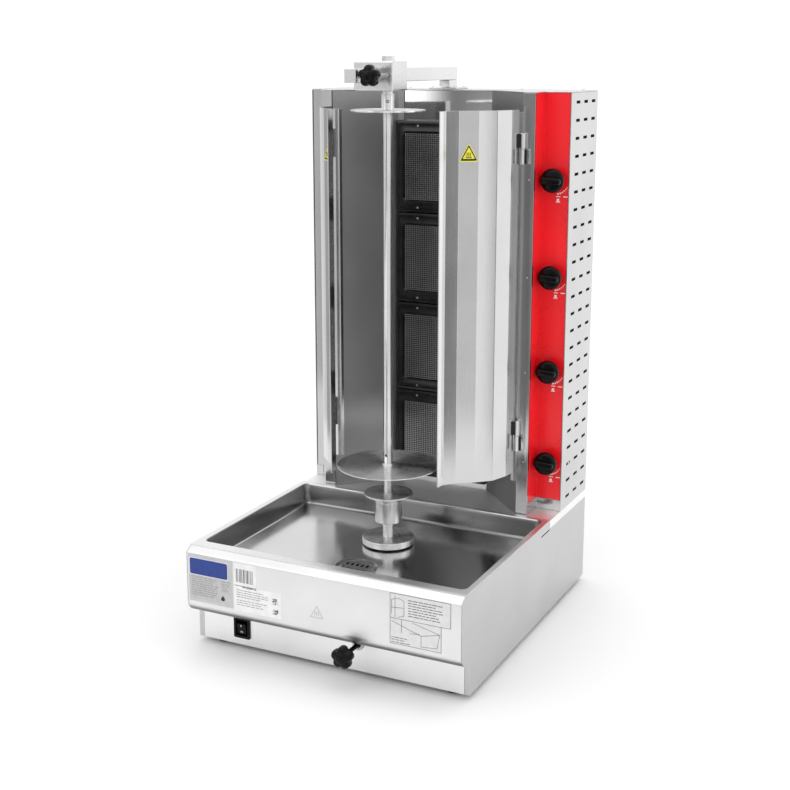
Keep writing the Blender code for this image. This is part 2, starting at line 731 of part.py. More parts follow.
def control_panel():
    plan = [(POST_OUTER, POST_FRONT + 0.006 + GAP), (POST_OUTER, TOWER_FRONT), (WALL - 0.001, TOWER_FRONT)]
    sheet = standing_sheet(plan, PLINTH_TOP + GAP, WALL_TOP)
    holes = [rod((KNOB_X, TOWER_FRONT - 0.01, z), (KNOB_X, TOWER_FRONT + 0.01, z), 0.005)
             for z in each_burner(TOP_KNOB_Z)]
    finish(cut(sheet, *holes), "control_panel", RED)


REFLECTOR_START = (POST_INNER - 0.0005, POST_FRONT + 0.0018)


# The lip folded over each reflector's front edge, between the hinges' heights.
LIP_LOW = 0.260
LIP_TOP = 0.956
LIP = [REFLECTOR_START, (0.190, POST_FRONT + 0.0012), (0.184, POST_FRONT + 0.004),
       (0.1805, POST_FRONT + 0.0085)]


def reflector_side(name, side):
    plan = [REFLECTOR_START, (RECESS_HALF, RECESS_BACK), (RECESS_HALF - 0.010, RECESS_BACK + 0.006)]
    lip = LIP
    if side < 0:
        plan, lip = mirrored(plan), mirrored(lip)
    sheet = standing_sheet(plan, DECK, WALL_TOP, 0.0012)
    finish(union(sheet, standing_sheet(lip, LIP_LOW, LIP_TOP, 0.0012)), name, POLISHED)


# Burners

BURNER_HALF_WIDTH = 0.0995
BURNER_HALF_HEIGHT = 0.089
BURNER_FRONT = FRONT + 0.507
BURNER_DEPTH = 0.017
BACK_PLATE_Y = RECESS_BACK + 0.0075
WINDOW_HALF_WIDTH = 0.085
WINDOW_HALF_HEIGHT = 0.0685
CHAMBER_HALF_WIDTH = 0.075
CHAMBER_HALF_HEIGHT = 0.060
CHAMBER_BACK = BURNER_FRONT + 0.054


def reflector_rear():
    plate = box((-0.100, BACK_PLATE_Y, DECK), (0.100, BACK_PLATE_Y + SHEET, WALL_TOP))
    clear = 0.001
    windows = [box((-CHAMBER_HALF_WIDTH - clear, BACK_PLATE_Y - 0.01, z - CHAMBER_HALF_HEIGHT - clear),
                   (CHAMBER_HALF_WIDTH + clear, BACK_PLATE_Y + 0.01, z + CHAMBER_HALF_HEIGHT + clear))
               for z in each_burner(TOP_BURNER_Z)]
    finish(cut(plate, *windows), "reflector_rear", POLISHED)


def about(z, half_width, front, back, half_height):
    """A box centred on a burner."""
    return box((-half_width, front, z - half_height), (half_width, back, z + half_height))


PLAQUE_FRONT = BURNER_FRONT + 0.004
PLAQUE_BACK = PLAQUE_FRONT + 0.012


def burner_housing(name, z):
    """The black frame and the mixing chamber behind it."""
    frame = about(z, BURNER_HALF_WIDTH, BURNER_FRONT, BURNER_FRONT + BURNER_DEPTH, BURNER_HALF_HEIGHT)
    neck = about(z, WINDOW_HALF_WIDTH, BURNER_FRONT + BURNER_DEPTH - 0.001, BACK_PLATE_Y - GAP, 0.070)
    chamber = about(z, CHAMBER_HALF_WIDTH, BACK_PLATE_Y - 0.001, CHAMBER_BACK, CHAMBER_HALF_HEIGHT)
    pocket = about(z, WINDOW_HALF_WIDTH - 0.001, BURNER_FRONT - 0.01, PLAQUE_BACK + GAP, WINDOW_HALF_HEIGHT)
    room = about(z, CHAMBER_HALF_WIDTH - 0.002, PLAQUE_BACK - 0.001,
                 CHAMBER_BACK - 0.002, CHAMBER_HALF_HEIGHT - 0.002)
    gas = rod((CHAMBER_HALF_WIDTH - 0.01, FEED_Y, z), (CHAMBER_HALF_WIDTH + 0.01, FEED_Y, z), 0.004, 12)
    finish(cut(union(frame, neck, chamber), pocket, room, gas), name, IRON)


def burner_plaque(name, z):
    obj = about(z, WINDOW_HALF_WIDTH - 0.001 - GAP, PLAQUE_FRONT, PLAQUE_BACK, WINDOW_HALF_HEIGHT - GAP)
    finish(obj, name, CERAMIC)


# Gas

FEED_Y = CHAMBER_BACK - 0.012
PIPE_X = 0.243
PIPE_Y = FEED_Y
VALVE_FRONT = TOWER_FRONT + 0.012
SPINDLE_RADIUS = 0.004
INLET_X = PIPE_X
INLET_Z = 0.240
GLAND_X = 0.205
GLAND_Z = 0.240
NIPPLE_END = REAR + 0.016


def gas_manifold():
    """The riser pipe, one tap body for each burner, their feed pipes and the hose nipple."""
    riser = rod((PIPE_X, PIPE_Y, INLET_Z - 0.008), (PIPE_X, PIPE_Y, TOP_BURNER_Z + 0.020), 0.008, 14)
    pieces = [rod((PIPE_X, PIPE_Y - 0.001, INLET_Z), (PIPE_X, NIPPLE_END - 0.012, INLET_Z), 0.0075, 14),
              rod((PIPE_X, REAR - 0.004, INLET_Z), (PIPE_X, NIPPLE_END, INLET_Z), 0.010, 6)]
    for knob_z, burner_z in zip(each_burner(TOP_KNOB_Z), each_burner(TOP_BURNER_Z)):
        pieces.append(box((KNOB_X - 0.013, VALVE_FRONT, knob_z - 0.014),
                          (KNOB_X + 0.013, PIPE_Y - 0.004, knob_z + 0.014)))
        pieces.append(rod((PIPE_X - 0.002, FEED_Y, burner_z), (CHAMBER_HALF_WIDTH - 0.001, FEED_Y, burner_z),
                          0.0035, 10))
    bores = [rod((KNOB_X, VALVE_FRONT - 0.01, z), (KNOB_X, VALVE_FRONT + 0.022, z), SPINDLE_RADIUS + GAP, 16)
             for z in each_burner(TOP_KNOB_Z)]
    finish(cut(union(riser, *pieces), *bores), "gas_manifold", BRASS)


def cable_gland():
    profile = [(0.0028, 0.018), (0.006, 0.016), (0.0085, 0.010), (0.0085, GAP), (0.0055, GAP),
               (0.0055, -0.006), (0.0028, -0.006), (0.0028, 0.018)]
    obj = turned(profile, (0, 0, 0), 18)
    obj.data.transform(Matrix.Rotation(math.radians(-90), 4, "X"))
    obj.data.transform(Matrix.Translation((GLAND_X, REAR, GLAND_Z)))
    finish(obj, "cable_gland", BLACK)


KNOB_RADIUS = 0.0222
KNOB_FRONT = TOWER_FRONT - 0.035
SKIRT_FRONT = TOWER_FRONT - 0.026
SKIRT_BACK = TOWER_FRONT - 0.015
KNOB_BACK = TOWER_FRONT - 0.0045
KNOB_TRAVEL = 0.003


def knob_spindle(name, z):
    obj = rod((KNOB_X, KNOB_FRONT + 0.010, z), (KNOB_X, VALVE_FRONT + 0.018, z), SPINDLE_RADIUS, 16)
    finish(origin_at(obj, (KNOB_X, TOWER_FRONT, z)), name, BRASS)


def control_knob(name, z):
    """A round skirt with a raised grip bar across it and a hub behind."""
    profile = [(0, -SKIRT_FRONT), (KNOB_RADIUS - 0.004, -SKIRT_FRONT), (KNOB_RADIUS, -SKIRT_FRONT - 0.003),
               (KNOB_RADIUS, -SKIRT_BACK), (0.010, -SKIRT_BACK), (0.009, -KNOB_BACK), (0, -KNOB_BACK)]
    skirt = turned(profile, (0, 0, 0), 28)
    skirt.data.transform(FACING_FRONT)
    skirt.data.transform(Matrix.Translation((KNOB_X, 0, z)))
    reach = KNOB_RADIUS - 0.003
    grip = box((-reach, KNOB_FRONT, -0.006), (reach, SKIRT_BACK - 0.004, 0.006))
    grip.data.transform(Matrix.Rotation(math.radians(4), 4, "Y"))
    grip.data.transform(Matrix.Translation((KNOB_X, 0, z)))
    bore = rod((KNOB_X, KNOB_FRONT + 0.006, z), (KNOB_X, KNOB_BACK + 0.01, z), SPINDLE_RADIUS + GAP, 16)
    knob = cut(union(skirt, grip), bore)
    finish(knob, name, BLACK)


# Doors

DOOR_BOTTOM = 0.279
DOOR_TOP = 0.961
HINGE_X = 0.199
HINGE_Y = POST_FRONT - 0.0065
HINGE_RADIUS = 0.005
DOOR_SHEET = 0.0012
# The right door's plan from its hinge to its hemmed edge, as steps from the hinge's axis.
DOOR_FOLDS = ((-0.0068, -0.0030), (-0.011, -0.0285), (-0.023, -0.0645), (-0.049, -0.0885),
              (-0.078, -0.1095), (-0.095, -0.1285), (-0.0983, -0.1480))
LEFT_DOOR_OPEN = 5.5
# Each hinge's bottom, middle and top: the post's half is below and the door's half above.
HINGES = ((0.323, 0.353, 0.382), (0.863, 0.891, 0.919))


def hinge_halves(side, upper):
    """Barrels and leaves of the lift-off hinges: the door's halves, or the post's."""
    made = []
    x = side * HINGE_X
    for low, middle, high in HINGES:
        z0, z1 = (middle + GAP / 2, high) if upper else (low, middle - GAP / 2)
        made.append(rod((x, HINGE_Y, z0), (x, HINGE_Y, z1), HINGE_RADIUS, 16))
        if upper:
            edges = sorted((x - side * 0.0090, x))
            made.append(box((edges[0], HINGE_Y - 0.0042, z0 + 0.001),
                            (edges[1], HINGE_Y - 0.0012, z1 - 0.001)))
        else:
            edges = sorted((x, x + side * 0.013))
            made.append(box((edges[0], HINGE_Y + 0.0008, z0 + 0.001),
                            (edges[1], POST_FRONT + 0.0002, z1 - 0.001)))
    return made


def door(name, side):
    """A shield folded round the spit. Its hinge's axis is the object's origin."""
    plan = [(HINGE_X + x, HINGE_Y + y) for x, y in DOOR_FOLDS]
    if side < 0:
        plan = mirrored(plan)
    sheet = standing_sheet(plan, DOOR_BOTTOM, DOOR_TOP, DOOR_SHEET)
    leaves = hinge_halves(side, upper=True)
    axis = (side * HINGE_X, HINGE_Y, 0)
    if side < 0:
        about_hinge = (Matrix.Translation(axis) @ Matrix.Rotation(math.radians(-LEFT_DOOR_OPEN), 4, "Z")
                       @ Matrix.Translation(-Vector(axis)))
        for piece in (sheet, *leaves):
            piece.data.transform(about_hinge)
    for piece in (sheet, *leaves):
        origin_at(piece, axis)
    finish(union(sheet, *leaves), name, POLISHED)


def build():
    base_floor()
    base_side("base_side_left", -1)
    base_side("base_side_right", 1)
    base_front_panel()
    base_back_panel()
    rear_deck()
    feet()
    drip_tray()
    drain_grate()
    switch_bezel()
    switch_rocker()
    carriage_plate()
    gearbox()
    motor()
    lock_rod()
    lock_knob()
    drive_flange()
    coupling_cup()
    drip_cap()
    spit_shaft()
    lower_meat_plate()
    upper_meat_plate()
    top_bar()
    bar_bracket()
    clamp_block()
    clamp_stud()
    clamp_knob()
    tower_side("tower_side_left", -1)
    tower_side("tower_side_right", 1)
    tower_back()
    top_cover()
    column_left()
    post_right()
    control_panel()
    reflector_side("reflector_left", -1)
    reflector_side("reflector_right", 1)
    reflector_rear()
    gas_manifold()
    cable_gland()
    for i, (burner_z, knob_z) in enumerate(zip(each_burner(TOP_BURNER_Z), each_burner(TOP_KNOB_Z)), 1):
        burner_housing(f"burner_{i}", burner_z)
        burner_plaque(f"burner_plaque_{i}", burner_z)
        knob_spindle(f"knob_spindle_{i}", knob_z)
        control_knob(f"control_knob_{i}", knob_z)
    door("door_left", -1)
    door("door_right", 1)


build()
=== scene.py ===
"""Look of the rotisserie oven: an upright gas kebab grill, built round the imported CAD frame.

Everything is in metres in the CAD's frame: +Z up, front towards -Y, on the floor at Z = 0.
"""

import json
import math
import random

import bmesh
import bpy
from mathutils import Matrix, Vector

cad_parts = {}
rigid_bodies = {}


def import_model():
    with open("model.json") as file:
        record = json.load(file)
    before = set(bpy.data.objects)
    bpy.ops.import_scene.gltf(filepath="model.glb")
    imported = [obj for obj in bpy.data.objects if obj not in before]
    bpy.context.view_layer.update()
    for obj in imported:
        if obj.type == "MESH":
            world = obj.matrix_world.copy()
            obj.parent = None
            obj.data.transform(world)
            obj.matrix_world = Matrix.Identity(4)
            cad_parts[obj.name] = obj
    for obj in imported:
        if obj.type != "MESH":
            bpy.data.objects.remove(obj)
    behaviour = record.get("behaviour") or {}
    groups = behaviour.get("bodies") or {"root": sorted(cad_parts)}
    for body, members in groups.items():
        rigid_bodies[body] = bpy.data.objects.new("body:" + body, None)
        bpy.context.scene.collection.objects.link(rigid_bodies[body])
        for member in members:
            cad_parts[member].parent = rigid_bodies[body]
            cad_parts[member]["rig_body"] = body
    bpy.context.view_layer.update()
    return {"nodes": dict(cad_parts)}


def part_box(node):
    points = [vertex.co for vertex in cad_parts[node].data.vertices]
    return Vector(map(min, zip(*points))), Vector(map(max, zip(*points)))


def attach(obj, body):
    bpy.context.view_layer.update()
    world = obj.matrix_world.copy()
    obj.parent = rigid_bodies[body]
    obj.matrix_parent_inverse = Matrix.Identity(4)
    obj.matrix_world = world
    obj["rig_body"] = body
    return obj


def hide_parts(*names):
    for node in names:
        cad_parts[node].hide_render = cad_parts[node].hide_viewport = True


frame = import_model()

cad = frame["nodes"]


def heights(node):
    """The bottom and the top of a CAD node."""
    return [corner.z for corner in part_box(node)]


# Shared dimensions, the same as the CAD's

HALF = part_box("rear_deck")[1].x
SHEET = 0.0015
WALL = HALF - SHEET
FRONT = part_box("drip_tray")[0].y
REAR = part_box("base_back_panel")[1].y
BODY_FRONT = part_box("base_front_panel")[0].y
DECK_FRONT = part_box("rear_deck")[0].y
TOWER_FRONT = FRONT + 0.478
POST_FRONT = FRONT + 0.425
TOWER_LOW, TOWER_HIGH = heights("column_left")
POST_INNER = 0.197
RECESS_BACK = FRONT + 0.525
RECESS_HALF = 0.103
SPIT_Y = FRONT + 0.272
KNOB_X = 0.2426
KNOB_HEIGHTS = [0.832 - 0.180 * i for i in range(4)]
BURNER_HEIGHTS = [0.843 - 0.180 * i for i in range(4)]
HINGE_X = 0.199
HINGE_Y = POST_FRONT - 0.0065
PRINT_LIFT = 0.00012  # how far a label stands off the sheet
PLATE_BORE = 0.0093  # the hole in everything that sits on the spit
SCREW_SMALL, SCREW_LARGE = 0.0032, 0.0035

# Camera, light and floor

CAMERA_AT = (1.0559, -2.1528, 1.0524)
CAMERA_TURN, CAMERA_PITCH = 26.2, 12.27  # degrees
CAMERA_LENS, CAMERA_SHIFT = 60.26, -0.0633


def add_camera():
    data = bpy.data.cameras.new("camera")
    data.lens = CAMERA_LENS
    data.sensor_width = 36
    data.shift_y = CAMERA_SHIFT
    data.clip_end = 100
    camera = bpy.data.objects.new("camera", data)
    bpy.context.scene.collection.objects.link(camera)
    camera.location = CAMERA_AT
    camera.rotation_euler = (math.radians(90 - CAMERA_PITCH), 0, math.radians(CAMERA_TURN))
    bpy.context.scene.camera = camera


def area_light(name, place, aim, size, power):
    data = bpy.data.lights.new(name, "AREA")
    data.shape = "RECTANGLE"
    data.size, data.size_y = size
    data.energy = power
    light = bpy.data.objects.new(name, data)
    bpy.context.scene.collection.objects.link(light)
    light.location = place
    light.rotation_euler = (Vector(aim) - Vector(place)).to_track_quat("-Z", "Y").to_euler()


class Graph:
    """A short way to write a node tree."""

    def __init__(self, tree):
        self.tree = tree

    def node(self, kind, inputs=None, **settings):
        made = self.tree.nodes.new(kind)
        for key, value in settings.items():
            setattr(made, key, value)
        for key, value in (inputs or {}).items():
            if isinstance(value, bpy.types.NodeSocket):
                self.link(value, made.inputs[key])
            else:
                made.inputs[key].default_value = value
        return made

    def link(self, out, into):
        self.tree.links.new(out, into)

    def math(self, operation, a, b=0.0, c=0.0):
        return self.node("ShaderNodeMath", {0: a, 1: b, 2: c}, operation=operation).outputs[0]

    def ramp(self, factor, stops):
        """The stops are (place, colour) or (place, grey level)."""
        made = self.node("ShaderNodeValToRGB", {"Fac": factor})
        elements = made.color_ramp.elements
        while len(elements) < len(stops):
            elements.new(0.5)
        for element, (place, value) in zip(elements, stops):
            element.position = place
            element.color = (*(value if isinstance(value, tuple) else grey(value)), 1)
        return made.outputs["Color"]

    def noise(self, vector, scale, detail=3.0, rough=0.5):
        inputs = {"Vector": vector, "Scale": scale, "Detail": detail, "Roughness": rough}
        return self.node("ShaderNodeTexNoise", inputs).outputs["Fac"]

    def vector(self, operation, a, b=(0, 0, 0)):
        made = self.node("ShaderNodeVectorMath", {0: a, 1: b}, operation=operation)
        return made.outputs["Value" if operation == "LENGTH" else "Vector"]

    def part(self, vector, axis):
        return self.node("ShaderNodeSeparateXYZ", {"Vector": vector}).outputs[axis]

    def level(self, colour):
        """One channel of a grey colour."""
        return self.node("ShaderNodeSeparateColor", {"Color": colour}).outputs["Red"]

    def place(self):
        return self.node("ShaderNodeTexCoord").outputs["Object"]

    def normal(self):
        return self.node("ShaderNodeNewGeometry").outputs["Normal"]

    def bump(self, shader, height, distance, strength):
        made = self.node("ShaderNodeBump", {"Height": height, "Distance": distance, "Strength": strength})
        self.link(made.outputs["Normal"], shader.inputs["Normal"])

    def mix(self, factor, a, b):
        """Mixes two colours, each a socket or four numbers. The node's colour sockets are inputs 6 and 7."""
        return self.node("ShaderNodeMix", {0: factor, 6: a, 7: b}, data_type="RGBA").outputs[2]


def add_studio():
    """A white room with a few grey flats, which only the metal sees."""
    world = bpy.data.worlds.new("studio")
    bpy.context.scene.world = world
    world.use_nodes = True
    world.node_tree.nodes.clear()
    g = Graph(world.node_tree)
    direction = g.node("ShaderNodeTexCoord").outputs["Generated"]
    turn = g.node("ShaderNodeTexGradient", {"Vector": direction}, gradient_type="RADIAL").outputs["Fac"]
    around = g.ramp(turn, STUDIO_WALL)
    level = g.math("MULTIPLY_ADD", g.part(direction, "Z"), 0.5, 0.5)
    ceiling = g.ramp(level, STUDIO_CEILING)
    seen = g.mix(g.level(g.ramp(level, STUDIO_WALL_END)), around, (1, 1, 1, 1))
    room = g.node("ShaderNodeBackground", {"Color": g.vector("MULTIPLY", seen, ceiling), "Strength": 1.0})
    white = g.node("ShaderNodeBackground", {"Color": (1, 1, 1, 1), "Strength": 1.1})
    straight = g.node("ShaderNodeLightPath").outputs["Is Camera Ray"]
    both = g.node("ShaderNodeMixShader", {0: straight, 1: room.outputs[0], 2: white.outputs[0]})
    out = g.node("ShaderNodeOutputWorld")
    g.link(both.outputs[0], out.inputs["Surface"])
    bpy.context.scene.view_settings.view_transform = "Standard"


def grey(v):
    return (v, v, v)


# Brightness round the room. 0 looks left (-X), 0.25 to the front (-Y), 0.5 right (+X), 0.75 to the rear.
STUDIO_WALL = [(0.0, 0.80), (0.155, 0.66), (0.173, 0.60), (0.175, 1.60), (0.1815, 1.60), (0.1826, 0.07),
               (0.1832, 0.07), (0.1845, 0.32), (0.19, 0.30), (0.20, 0.20), (0.235, 0.25), (0.26, 0.60),
               (0.30, 0.90), (0.355, 0.90), (0.37, 0.60), (0.395, 0.75), (0.408, 1.20), (0.432, 1.20),
               (0.440, 0.28), (0.475, 0.28), (0.50, 0.60), (0.55, 1.10), (0.60, 1.20), (0.64, 1.20),
               (0.68, 1.10), (0.75, 1.20), (0.88, 1.20), (0.90, 0.70), (0.925, 0.70), (0.94, 0.35),
               (0.975, 0.35), (1.0, 0.80)]
# By height, from straight down (0) through level (0.5) to straight up (1): the room's brightness, and how far the
# wall has given way to white.
STUDIO_CEILING = [(0.0, 1.0), (0.80, 1.0), (0.95, 1.10)]
STUDIO_WALL_END = [(0.50, 0.0), (0.56, 0.85), (0.90, 1.0)]


def add_floor():
    bpy.ops.mesh.primitive_plane_add(size=2.4)
    floor = bpy.context.object
    floor.name = "studio_floor"
    floor.data.materials.append(new_material("studio floor", 0.0, grey(0.93), 0.7)[0])


# Materials


def new_material(name, metallic, colour, roughness):
    made = bpy.data.materials.new(name)
    made.use_nodes = True
    shader = made.node_tree.nodes["Principled BSDF"]
    shader.inputs["Metallic"].default_value = metallic
    shader.inputs["Base Color"].default_value = (*colour, 1)
    shader.inputs["Roughness"].default_value = roughness
    return made, Graph(made.node_tree), shader


def shade(colour, factor):
    return tuple(min(1.0, c * factor) for c in colour)


def detail(g, shader, colour, fine, broad, roughness, spread, depth, tone=0.06):
    """Lets a fine and a broad pattern move the colour, the roughness and the surface."""
    tones = g.ramp(broad, [(0.3, shade(colour, 1 - tone)), (0.7, shade(colour, 1 + tone))])
    g.link(tones, shader.inputs["Base Color"])
    blend = g.math("MULTIPLY_ADD", fine, 0.6, g.math("MULTIPLY", broad, 0.4))
    rough = g.node("ShaderNodeMapRange", {
        "Value": blend, "From Min": 0.3, "From Max": 0.7,
        "To Min": max(0.02, roughness - spread), "To Max": roughness + spread})
    g.link(rough.outputs["Result"], shader.inputs["Roughness"])
    g.bump(shader, fine, depth, 0.6)


def stretch_across(g, shader, ring, amount):
    """Spreads a reflection across the brushing, which runs at right angles to ring and to the surface's normal."""
    g.link(g.vector("CROSS_PRODUCT", g.normal(), ring), shader.inputs["Tangent"])
    shader.inputs["Anisotropic"].default_value = amount


def steel(name, colour, roughness, grain=(1, 1, 1), spread=0.05, depth=0.00002, tone=0.05, stretch=0.0,
          painted_shade=None):
    """Rolled or brushed sheet, with an optional band of painted shade. The grain is long where its scale is small."""
    made, g, shader = new_material(name, 1.0, colour, roughness)
    at = g.place()
    stretched = g.node("ShaderNodeMapping", {"Vector": at, "Scale": grain}).outputs[0]
    fine = g.noise(stretched, 900.0, 2.0, 0.6)
    broad = g.noise(at, 7.0, 4.0, 0.55)
    detail(g, shader, colour, fine, broad, roughness, spread, depth, tone)
    if stretch:
        stretch_across(g, shader, (0, 0, 1), stretch)
    if painted_shade:
        # Painted shade: a band that runs across the object, given by stops along one axis, darkens its colour.
        axis, start, end, stops = painted_shade
        along = g.node("ShaderNodeMapRange", {"Value": g.part(at, axis), "From Min": start, "From Max": end})
        unshaded = shader.inputs["Base Color"].links[0].from_socket
        shade_band = g.ramp(along.outputs["Result"], stops)
        g.link(g.vector("MULTIPLY", unshaded, shade_band), shader.inputs["Base Color"])
    return made


RING_SPREAD = 0.98


def lathe_steel(name, colour, roughness, spread, rings, depth):
    """Turned steel: rings about the spit's axis, which spread a reflection up a shaft and outwards on a plate."""
    made, g, shader = new_material(name, 1.0, colour, roughness)
    at = g.place()
    flat = g.vector("MULTIPLY", g.vector("SUBTRACT", at, (0, SPIT_Y, 0)), (1, 1, 0))
    along = g.math("ADD", g.vector("LENGTH", flat), g.part(at, "Z"))
    rings_at = g.node("ShaderNodeCombineXYZ", {"X": along})
    fine = g.noise(rings_at.outputs[0], rings, 2.0, 0.7)
    broad = g.noise(at, 16.0, 3.0, 0.5)
    detail(g, shader, colour, fine, broad, roughness, spread, depth)
    out = g.node("ShaderNodeVectorTransform", {"Vector": flat}, vector_type="VECTOR", convert_from="OBJECT",
                 convert_to="WORLD").outputs[0]
    stretch_across(g, shader, g.vector("CROSS_PRODUCT", out, (0, 0, 1)), RING_SPREAD)
    return made


def mottled(name, metallic, colour, roughness, fine, broad, spread, depth, tone):
    """An uneven surface that follows a fine and a broad noise, each as (scale, detail, roughness)."""
    made, g, shader = new_material(name, metallic, colour, roughness)
    at = g.place()
    detail(g, shader, colour, g.noise(at, *fine), g.noise(at, *broad), roughness, spread, depth, tone)
    return made, shader


def moulded(name, colour, roughness, grain, depth):
    """Plastic or rubber with a fine moulded grain, a little worn."""
    made, shader = mottled(name, 0.0, colour, roughness, (grain, 2.0, 0.5), (60.0, 4.0, 0.6), 0.08, depth, 0.22)
    shader.inputs["Specular IOR Level"].default_value = 0.16
    return made


def red_film_material():
    """A printed film stuck on the steel: an even red, slightly rippled and glossy."""
    made, shader = mottled("red film", 0.0, (0.92, 0.008, 0.016), 0.30, (420.0, 3.0, 0.5), (9.0, 3.0, 0.5),
                           0.05, 0.00004, 0.07)
    shader.inputs["Coat Weight"].default_value = 0.35
    shader.inputs["Coat Roughness"].default_value = 0.15
    return made


def enamel_material():
    """Black heat-proof enamel with a dusty bloom."""
    return mottled("black enamel", 0.3, (0.018, 0.018, 0.019), 0.30, (1100.0, 3.0, 0.6), (22.0, 5.0, 0.62),
                   0.10, 0.00006, 0.5)[0]


def ceramic_material():
    """A perforated burner tile: rows of small dark holes, scorched in patches."""
    made, g, shader = new_material("burner tile", 0.0, (0.20, 0.19, 0.18), 0.85)
    at = g.place()
    plane = g.vector("MULTIPLY", at, (1, 0, 1))
    cells = g.node("ShaderNodeTexVoronoi", {"Vector": plane, "Scale": 520.0, "Randomness": 0.12})
    hole = g.ramp(cells.outputs["Distance"], [(0.22, 0.0), (0.34, 1.0)])
    scorch = g.noise(at, 26.0, 4.0, 0.6)
    tile = g.ramp(scorch, [(0.3, (0.020, 0.019, 0.018)), (0.7, (0.075, 0.070, 0.064))])
    height = g.level(hole)
    g.link(g.mix(height, (*grey(0.008), 1), tile), shader.inputs["Base Color"])
    g.bump(shader, height, 0.0004, 0.8)
    return made


def print_material(name, colour, roughness=0.45, metallic=0.0):
    """Ink or label stock: a matt sheet with a faint mottle."""
    return mottled(name, metallic, colour, roughness, (2400.0, 2.0, 0.5), (90.0, 3.0, 0.5), 0.05, 0.00001, 0.05)[0]


# The finishes. Sheets that stand are brushed up and down, the base is brushed along its width.
BRUSHED_UP = steel("brushed steel upright", grey(0.62), 0.30, (1, 1, 0.02), 0.05)
BRUSHED_ALONG = steel("brushed steel along", grey(0.66), 0.34, (0.02, 1, 1), 0.05)
BRUSHED_DEEP = steel("brushed steel deep", grey(0.57), 0.32, (1, 0.02, 1), 0.05)
# Painted shade: the tray's colour darkens towards its rear wall, in front of the tower.
TRAY_STEEL = steel("tray steel", grey(0.68), 0.17, (1, 0.05, 1), 0.04,
                   painted_shade=("Y", FRONT + 0.30, FRONT + 0.42, ((0.0, 1.0), (0.70, 0.50), (0.895, 0.42), (0.91, 1.0))))
# Painted shade: the apron's colour darkens along its rolled lower edge, where it turns under.
APRON_STEEL = steel("apron steel", grey(0.80), 0.38, (0.02, 1, 1), 0.05,
                    painted_shade=("Z", 0.070, 0.090, ((0.0, 0.22), (0.50, 0.30), (0.72, 0.80), (0.85, 1.0))))
DOOR_STEEL = steel("door steel", grey(0.64), 0.17, (1, 1, 0.02), 0.04)
REAR_STEEL = steel("rear reflector steel", grey(0.84), 0.05, (1, 1, 0.03), 0.01, 0.000004, 0.04)
# Painted shade: the reflectors' sides use a much darker copy of the upright steel, for the shade in the tower's
# recess.
SIDE_STEEL = steel("reflector side steel", grey(0.40), 0.34, (1, 1, 0.03), 0.03, tone=0.08, stretch=0.9)
# Painted light: a lighter copy of the base's steel, which lifts the front panel out of the apron's shade; the door
# hems use it too.
PANEL_STEEL = steel("panel steel", grey(0.88), 0.36, (0.02, 1, 1), 0.05)
POST_STEEL = steel("post steel", grey(0.56), 0.13, (1, 1, 0.02), 0.04)
SPIT_STEEL = lathe_steel("turned steel", grey(0.72), 0.14, 0.015, 1400.0, 0.000001)
PLATE_STEEL = lathe_steel("plate steel", grey(0.78), 0.27, 0.03, 900.0, 0.000003)
# Painted light: a near-white copy of the base's steel, which paints the deck as white as the light from above shows
# it.
DECK_STEEL = steel("deck steel", grey(0.92), 0.50, (0.02, 1, 1), 0.05)
BAR_STEEL = steel("bar steel", grey(0.76), 0.28, (1, 0.02, 1), 0.05)
ZINC = steel("zinc plate", (0.52, 0.52, 0.50), 0.42, (1, 1, 1), 0.10, 0.00004, 0.12)
CASTING = steel("painted casting", (0.30, 0.31, 0.33), 0.55, (1, 1, 1), 0.10, 0.00012, 0.10)
BRASS = steel("brass", (0.66, 0.46, 0.18), 0.32, (1, 1, 1), 0.08, 0.00003, 0.10)
# Also painted shade: the hinge leaves take this dark steel to stand for the shade round the barrels and at the door's
# edge.
DARK_STEEL = steel("blackened steel and painted shade", grey(0.05), 0.35, (1, 1, 0.1), 0.08)
BLACK = moulded("black plastic", grey(0.003), 0.17, 1600.0, 0.00003)
RUBBER = moulded("black rubber", grey(0.016), 0.75, 900.0, 0.0001)
RED = red_film_material()
ENAMEL = enamel_material()
TILE = ceramic_material()
WIRE = steel("mesh wire", grey(0.60), 0.30, (1, 1, 1), 0.08, 0.00002, 0.15)
WHITE_INK = print_material("white ink", grey(0.95))
BLACK_INK = print_material("black ink", grey(0.02))
GREY_INK = print_material("grey ink", grey(0.30))
GUIDE_INK = print_material("guide ink", grey(0.12))
LABEL_GREY = print_material("grey label", grey(0.56), 0.38, 0.25)
LABEL_WHITE = print_material("white label", grey(0.86), 0.42)
LABEL_CLEAR = print_material("silver label", grey(0.74), 0.36, 0.5)
BLUE = print_material("blue plate", (0.010, 0.040, 0.26), 0.30)
YELLOW = print_material("yellow sticker", (0.90, 0.82, 0.04), 0.38)
GREY_PALE = print_material("pale print", grey(0.48), 0.4, 0.4)

# Mesh building


def shown(name, mesh, material, body, replaces=(), crease=35):
    """Puts a mesh in the scene as a piece of the object."""
    obj = bpy.data.objects.new(name, mesh)
    bpy.context.scene.collection.objects.link(obj)
    mesh.materials.clear()
    mesh.materials.append(material)
    mesh.polygons.foreach_set("use_smooth", [True] * len(mesh.polygons))
    mesh.set_sharp_from_angle(angle=math.radians(crease))
    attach(obj, body)
    if replaces:
        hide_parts(*replaces)
    return obj


def to_mesh(bm, name):
    bmesh.ops.recalc_face_normals(bm, faces=bm.faces)
    mesh = bpy.data.meshes.new(name)
    bm.to_mesh(mesh)
    bm.free()
    return mesh


def bridge(bm, rows, around=True):
    """Adds faces between one row of vertices and the next."""
    for a, b in zip(rows, rows[1:]):
        for i in range(len(a) if around else len(a) - 1):
            j = (i + 1) % len(a)
            bm.faces.new((a[i], a[j], b[j], b[i]))


def new_rows(bm, rings):
    return [[bm.verts.new(p) for p in ring] for ring in rings]


def thicken(obj, thickness):
    solid = obj.modifiers.new("sheet", "SOLIDIFY")
    solid.thickness = thickness
    solid.offset = -1


